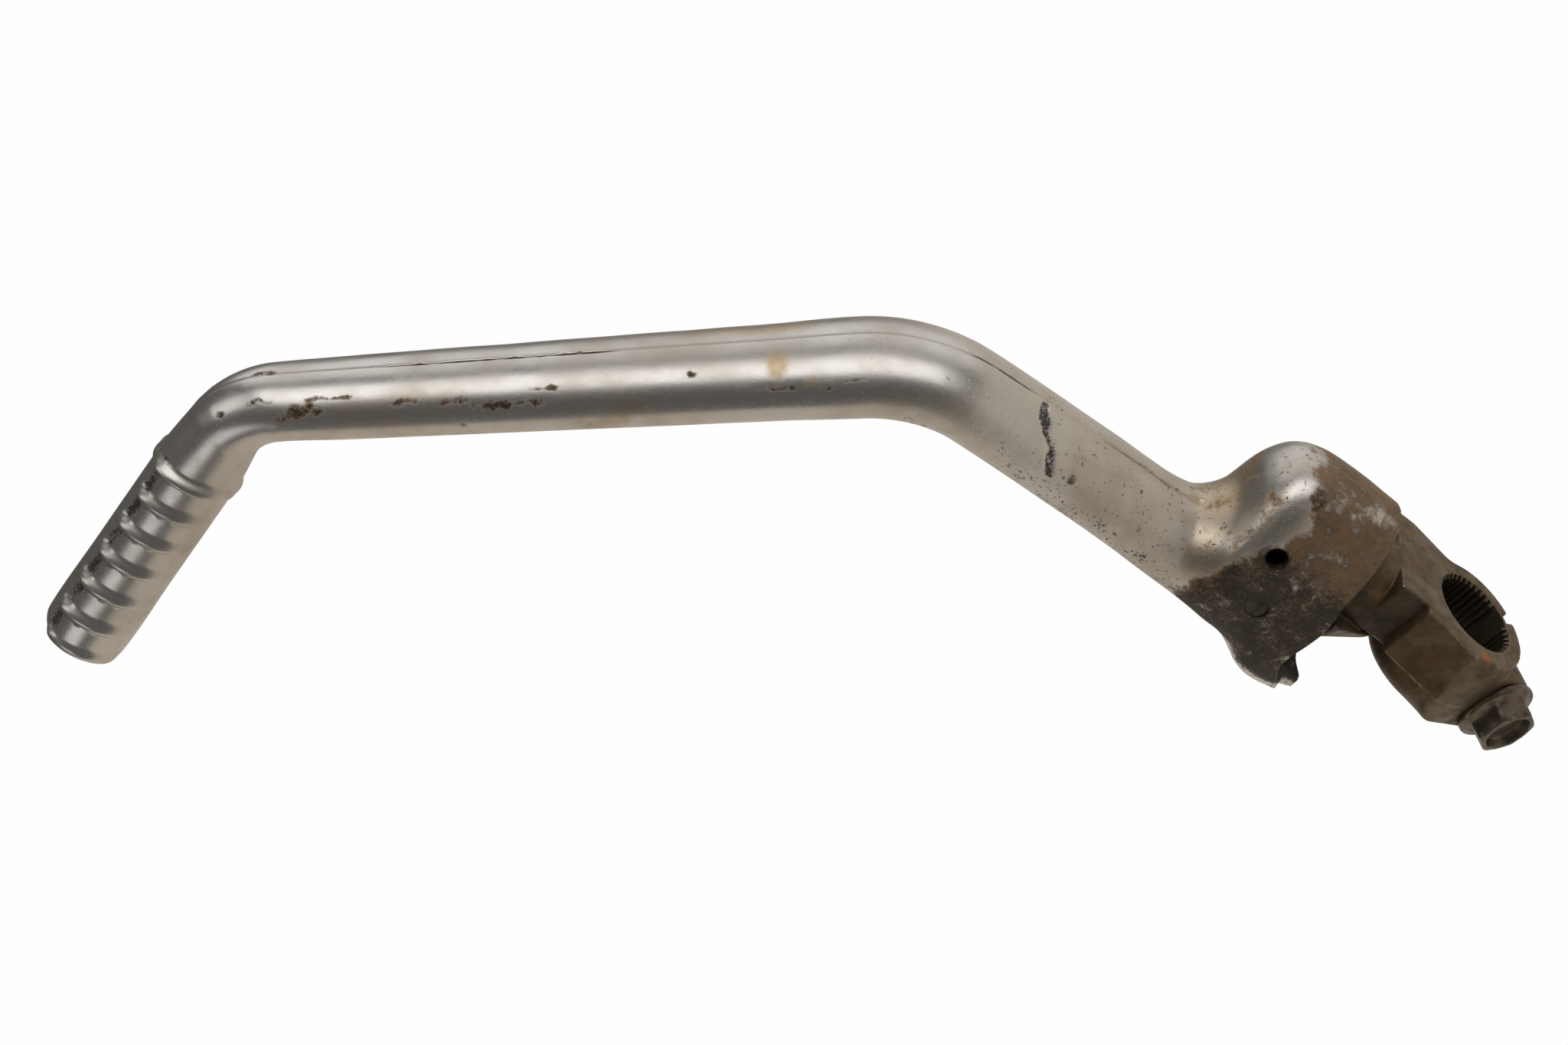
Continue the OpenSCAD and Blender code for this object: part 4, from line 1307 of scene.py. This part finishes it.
@dataclass
class PinchBolt:
    """The flanged hexagon bolt that closes the clamp, in millimetres."""

    hub: Hub
    thread_d: float = 8.0
    af: float = 12.0
    flange_d: float = 17.0
    head_h: float = 6.8
    length: float = 23.0
    around: int = 240
    rings_per_key: int = 6
    corner_cut: float = 1.125
    dish_r: float = 5.1
    dish_h: float = 2.2

    def profile(self) -> Array:
        """Return the bolt's profile as radius, height and share of hexagon, from dish to tip."""
        flat, dish, top, floor = self.af / 2, self.dish_r, self.head_h, self.head_h - self.dish_h
        flange, thread, end = self.flange_d / 2, self.thread_d / 2, -self.length
        return np.array(
            [
                [0.0, floor, 0.0],
                [dish - 1.5, floor, 0.0],
                [dish - 0.7, floor + 0.2, 0.0],
                [dish, top - 0.15, 0.0],
                [dish + 0.3, top, 0.0],
                [flat - 0.3, top, 0.0],
                [flat, top - 0.15, 0.5],
                [flat, top - 0.6, 1.0],
                [flat, 2.9, 1.0],
                [flat + 0.15, 2.5, 0.8],
                [flat + 1.0, 2.0, 0.25],
                [flange - 0.8, 1.5, 0.0],
                [flange - 0.15, 1.3, 0.0],
                [flange, 1.0, 0.0],
                [flange, 0.3, 0.0],
                [flange - 0.3, 0.0, 0.0],
                [thread + 0.02, 0.0, 0.0],
                [thread, -0.5, 0.0],
                [thread, end + 1.0, 0.0],
                [thread - 0.9, end, 0.0],
                [0.0, end, 0.0],
            ]
        )

    def build(self, finish: PlainSteel) -> None:
        """Build and dress the bolt: its profile is revolved, with the hexagon's flats by 1 / cos."""
        keys = self.profile()
        at = np.linspace(0, len(keys) - 1, self.rings_per_key * len(keys))
        rows = np.stack([np.interp(at, np.arange(len(keys)), column) for column in keys.T], axis=1)
        angle = np.linspace(0, 2 * np.pi, self.around, endpoint=False)
        hexagon = np.minimum(1.0 / np.cos((angle % (np.pi / 3)) - np.pi / 6), self.corner_cut)
        radius = rows[:, 0:1] * (1 + (hexagon - 1)[None, :] * rows[:, 2:3])
        away, facing = self.hub.clamp_axes()
        centre = away * self.hub.bolt_offset + np.array([self.hub.bolt_x, 0.0, 0.0])
        spokes = np.cos(angle)[:, None] * np.array([1.0, 0, 0]) + np.sin(angle)[:, None] * away
        points = centre + facing * (self.hub.seat + rows[:, 1])[:, None, None] + radius[..., None] * spokes
        quads = grid_quads(len(rows), self.around, 0, True)
        piece = make_piece("pinch_bolt_head", points.reshape(-1, 3), [quads])
        weld = piece.modifiers.new("weld", "WELD")
        weld.merge_threshold = 1e-5
        apply_modifiers(piece)
        flip_if_inside_out(piece)
        shade_by_angle(piece, 28)
        piece.data.materials.append(finish.build())
        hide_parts("pinch_bolt")
        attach(piece, "hub")
        LOG.info("%s: %d faces", piece.name, len(piece.data.polygons))


@dataclass
class InnerPieces:
    """The pieces inside the knuckle, which keep their CAD shape and get their own finishes."""

    def build(self, frame: dict) -> None:
        """Give each CAD node that stays its own steel."""
        finishes = {
            "bearing_sleeve": PlainSteel("greased_sleeve_steel", "#5e564b", "#3a342c"),
            "retaining_pin": PlainSteel("dull_pin_steel", "#4d463d", "#2b2620", (0.35, 0.55), 0.7),
            "detent_ball": PlainSteel("polished_ball_steel", "#c9c8c5", "#a9a7a2", (0.12, 0.2), 1.0),
            "detent_spring": PlainSteel("spring_wire_steel", "#8d8b86", "#6a6862", (0.25, 0.4), 1.0),
        }
        for node, finish in finishes.items():
            piece = frame["nodes"][node]
            piece.data.materials.clear()
            piece.data.materials.append(finish.build())
            LOG.info("%s: %s", node, finish.name)


@dataclass
class Studio:
    """A pale floor, soft lamps and the camera at the photograph's angle."""

    target: tuple[float, float, float] = (77.6, -11.5, 114.0)
    to_camera: tuple[float, float, float] = (-0.446, 0.788, 0.424)
    camera_up: tuple[float, float, float] = (-0.5705, -0.616, 0.543)
    frame_width: float = 325.0
    distance: float = 2200.0
    sensor: float = 36.0
    floor_z: float = -60.0
    floor_low: tuple[float, float] = (-900.0, -1200.0)
    floor_high: tuple[float, float] = (1100.0, 500.0)
    lamps: tuple[Lamp, ...] = (
        ("front_softbox", (0.1, 1.08, 1.0), (2.0, 0.95), 10.2),
        ("top_softbox", (0.1, 1.15, -0.35), (1.9, 1.1), 6.0),
        ("left_softbox", (-1.2, 0.6, 0.6), (0.8, 0.8), 2.2),
        ("left_fill", (-0.95, -1.0, 0.6), (0.7, 0.6), 1.3),
        ("right_fill", (1.3, -0.35, 0.7), (0.6, 0.8), 1.8),
    )

    def axes(self) -> tuple[Vector, Vector, Vector]:
        """Return the camera's right, up and backward directions."""
        back = Vector(self.to_camera).normalized()
        up = Vector(self.camera_up)
        up = (up - back * up.dot(back)).normalized()
        return up.cross(back), up, back

    def build_camera(self) -> None:
        """Place the long lens that frames what the photograph frames."""
        right, up, back = self.axes()
        data = bpy.data.cameras.new("studio_camera")
        data.sensor_width = self.sensor
        data.lens = self.sensor * self.distance / self.frame_width
        data.clip_start, data.clip_end = 0.05, 20.0
        camera = bpy.data.objects.new("studio_camera", data)
        bpy.context.scene.collection.objects.link(camera)
        turn = Matrix((right, up, back)).transposed().to_4x4()
        place = (Vector(self.target) + back * self.distance) * MM
        camera.matrix_world = Matrix.Translation(place) @ turn
        bpy.context.scene.camera = camera

    def build_lamp(
        self, name: str, offset: tuple[float, float, float], size: tuple[float, float], power: float
    ) -> None:
        """Place one soft rectangular lamp by its offset right, up and back from the object.

        Args:
            name: Name of the lamp.
            offset: Metres to the camera's right, upwards and towards the camera.
            size: Width and height in metres.
            power: Watts.
        """
        right, up, back = self.axes()
        away = right * offset[0] + up * offset[1] + back * offset[2]
        facing = away.normalized()
        wide = (right - facing * right.dot(facing)).normalized()
        data = bpy.data.lights.new(name, "AREA")
        data.shape, data.size, data.size_y, data.energy = "RECTANGLE", size[0], size[1], power
        lamp = bpy.data.objects.new(name, data)
        turn = Matrix((wide, facing.cross(wide), facing)).transposed().to_4x4()
        lamp.matrix_world = Matrix.Translation(Vector(self.target) * MM + away) @ turn
        bpy.context.scene.collection.objects.link(lamp)

    def build_floor(self) -> None:
        """Lay a wide pale floor that shows near white and keeps a faint shadow."""
        low_x, low_y, high_x, high_y, z = *self.floor_low, *self.floor_high, self.floor_z
        points = np.array([[low_x, low_y, z], [high_x, low_y, z], [high_x, high_y, z], [low_x, high_y, z]])
        floor = make_piece("studio_floor", points, [np.array([[0, 1, 2, 3]])], False)
        s = Shader(bpy.data.materials.new("pale_studio_floor"))
        seen = s.add("ShaderNodeLightPath")
        glow = s.add("ShaderNodeEmission", {"Color": "#ffffff", "Strength": 1.0})
        matt = s.add("ShaderNodeBsdfDiffuse", {"Color": "#e9e8e6"})
        warm = s.add("ShaderNodeEmission", {"Color": "#f6ecdd", "Strength": 0.72})
        mirrored = s.times(seen.outputs["Is Glossy Ray"], 0.9)
        show = s.times(seen.outputs["Is Camera Ray"], 0.985)
        lit = s.add("ShaderNodeMixShader", {0: mirrored, 1: matt.outputs[0], 2: warm.outputs[0]})
        mixed = s.add("ShaderNodeMixShader", {0: show, 1: lit.outputs[0], 2: glow.outputs[0]})
        s.add("ShaderNodeOutputMaterial", {"Surface": mixed.outputs[0]})
        floor.data.materials.append(s.owner)

    def build_world(self) -> None:
        """Set a plain white backdrop to the camera and a soft grey one to the metal."""
        world = bpy.data.worlds.new("studio_world")
        s = Shader(world)
        seen = s.add("ShaderNodeLightPath").outputs["Is Camera Ray"]
        room = s.add("ShaderNodeBackground", {"Color": "#e6e4e0", "Strength": 0.17}).outputs[0]
        white = s.add("ShaderNodeBackground", {"Color": "#ffffff"}).outputs[0]
        mixed = s.add("ShaderNodeMixShader", {0: seen, 1: room, 2: white}).outputs[0]
        s.add("ShaderNodeOutputWorld", {"Surface": mixed})
        bpy.context.scene.world = world

    def build(self) -> None:
        """Build the whole studio."""
        bpy.context.scene.view_settings.view_transform = "Standard"
        self.build_world()
        self.build_floor()
        for name, offset, size, power in self.lamps:
            self.build_lamp(name, offset, size, power)
        self.build_camera()


def main() -> None:
    """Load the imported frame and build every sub-assembly."""
    logging.basicConfig(level=logging.INFO)
    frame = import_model()
    hub = Hub()
    Lever().build(WornPlating())
    hub.build(ForgedSteel())
    PinchBolt(hub).build(PlainSteel("dull_bolt_steel", "#70655a", "#372d22", (0.28, 0.46), 0.8))
    InnerPieces().build(frame)
    Studio().build()


if __name__ == "__main__":
    main()
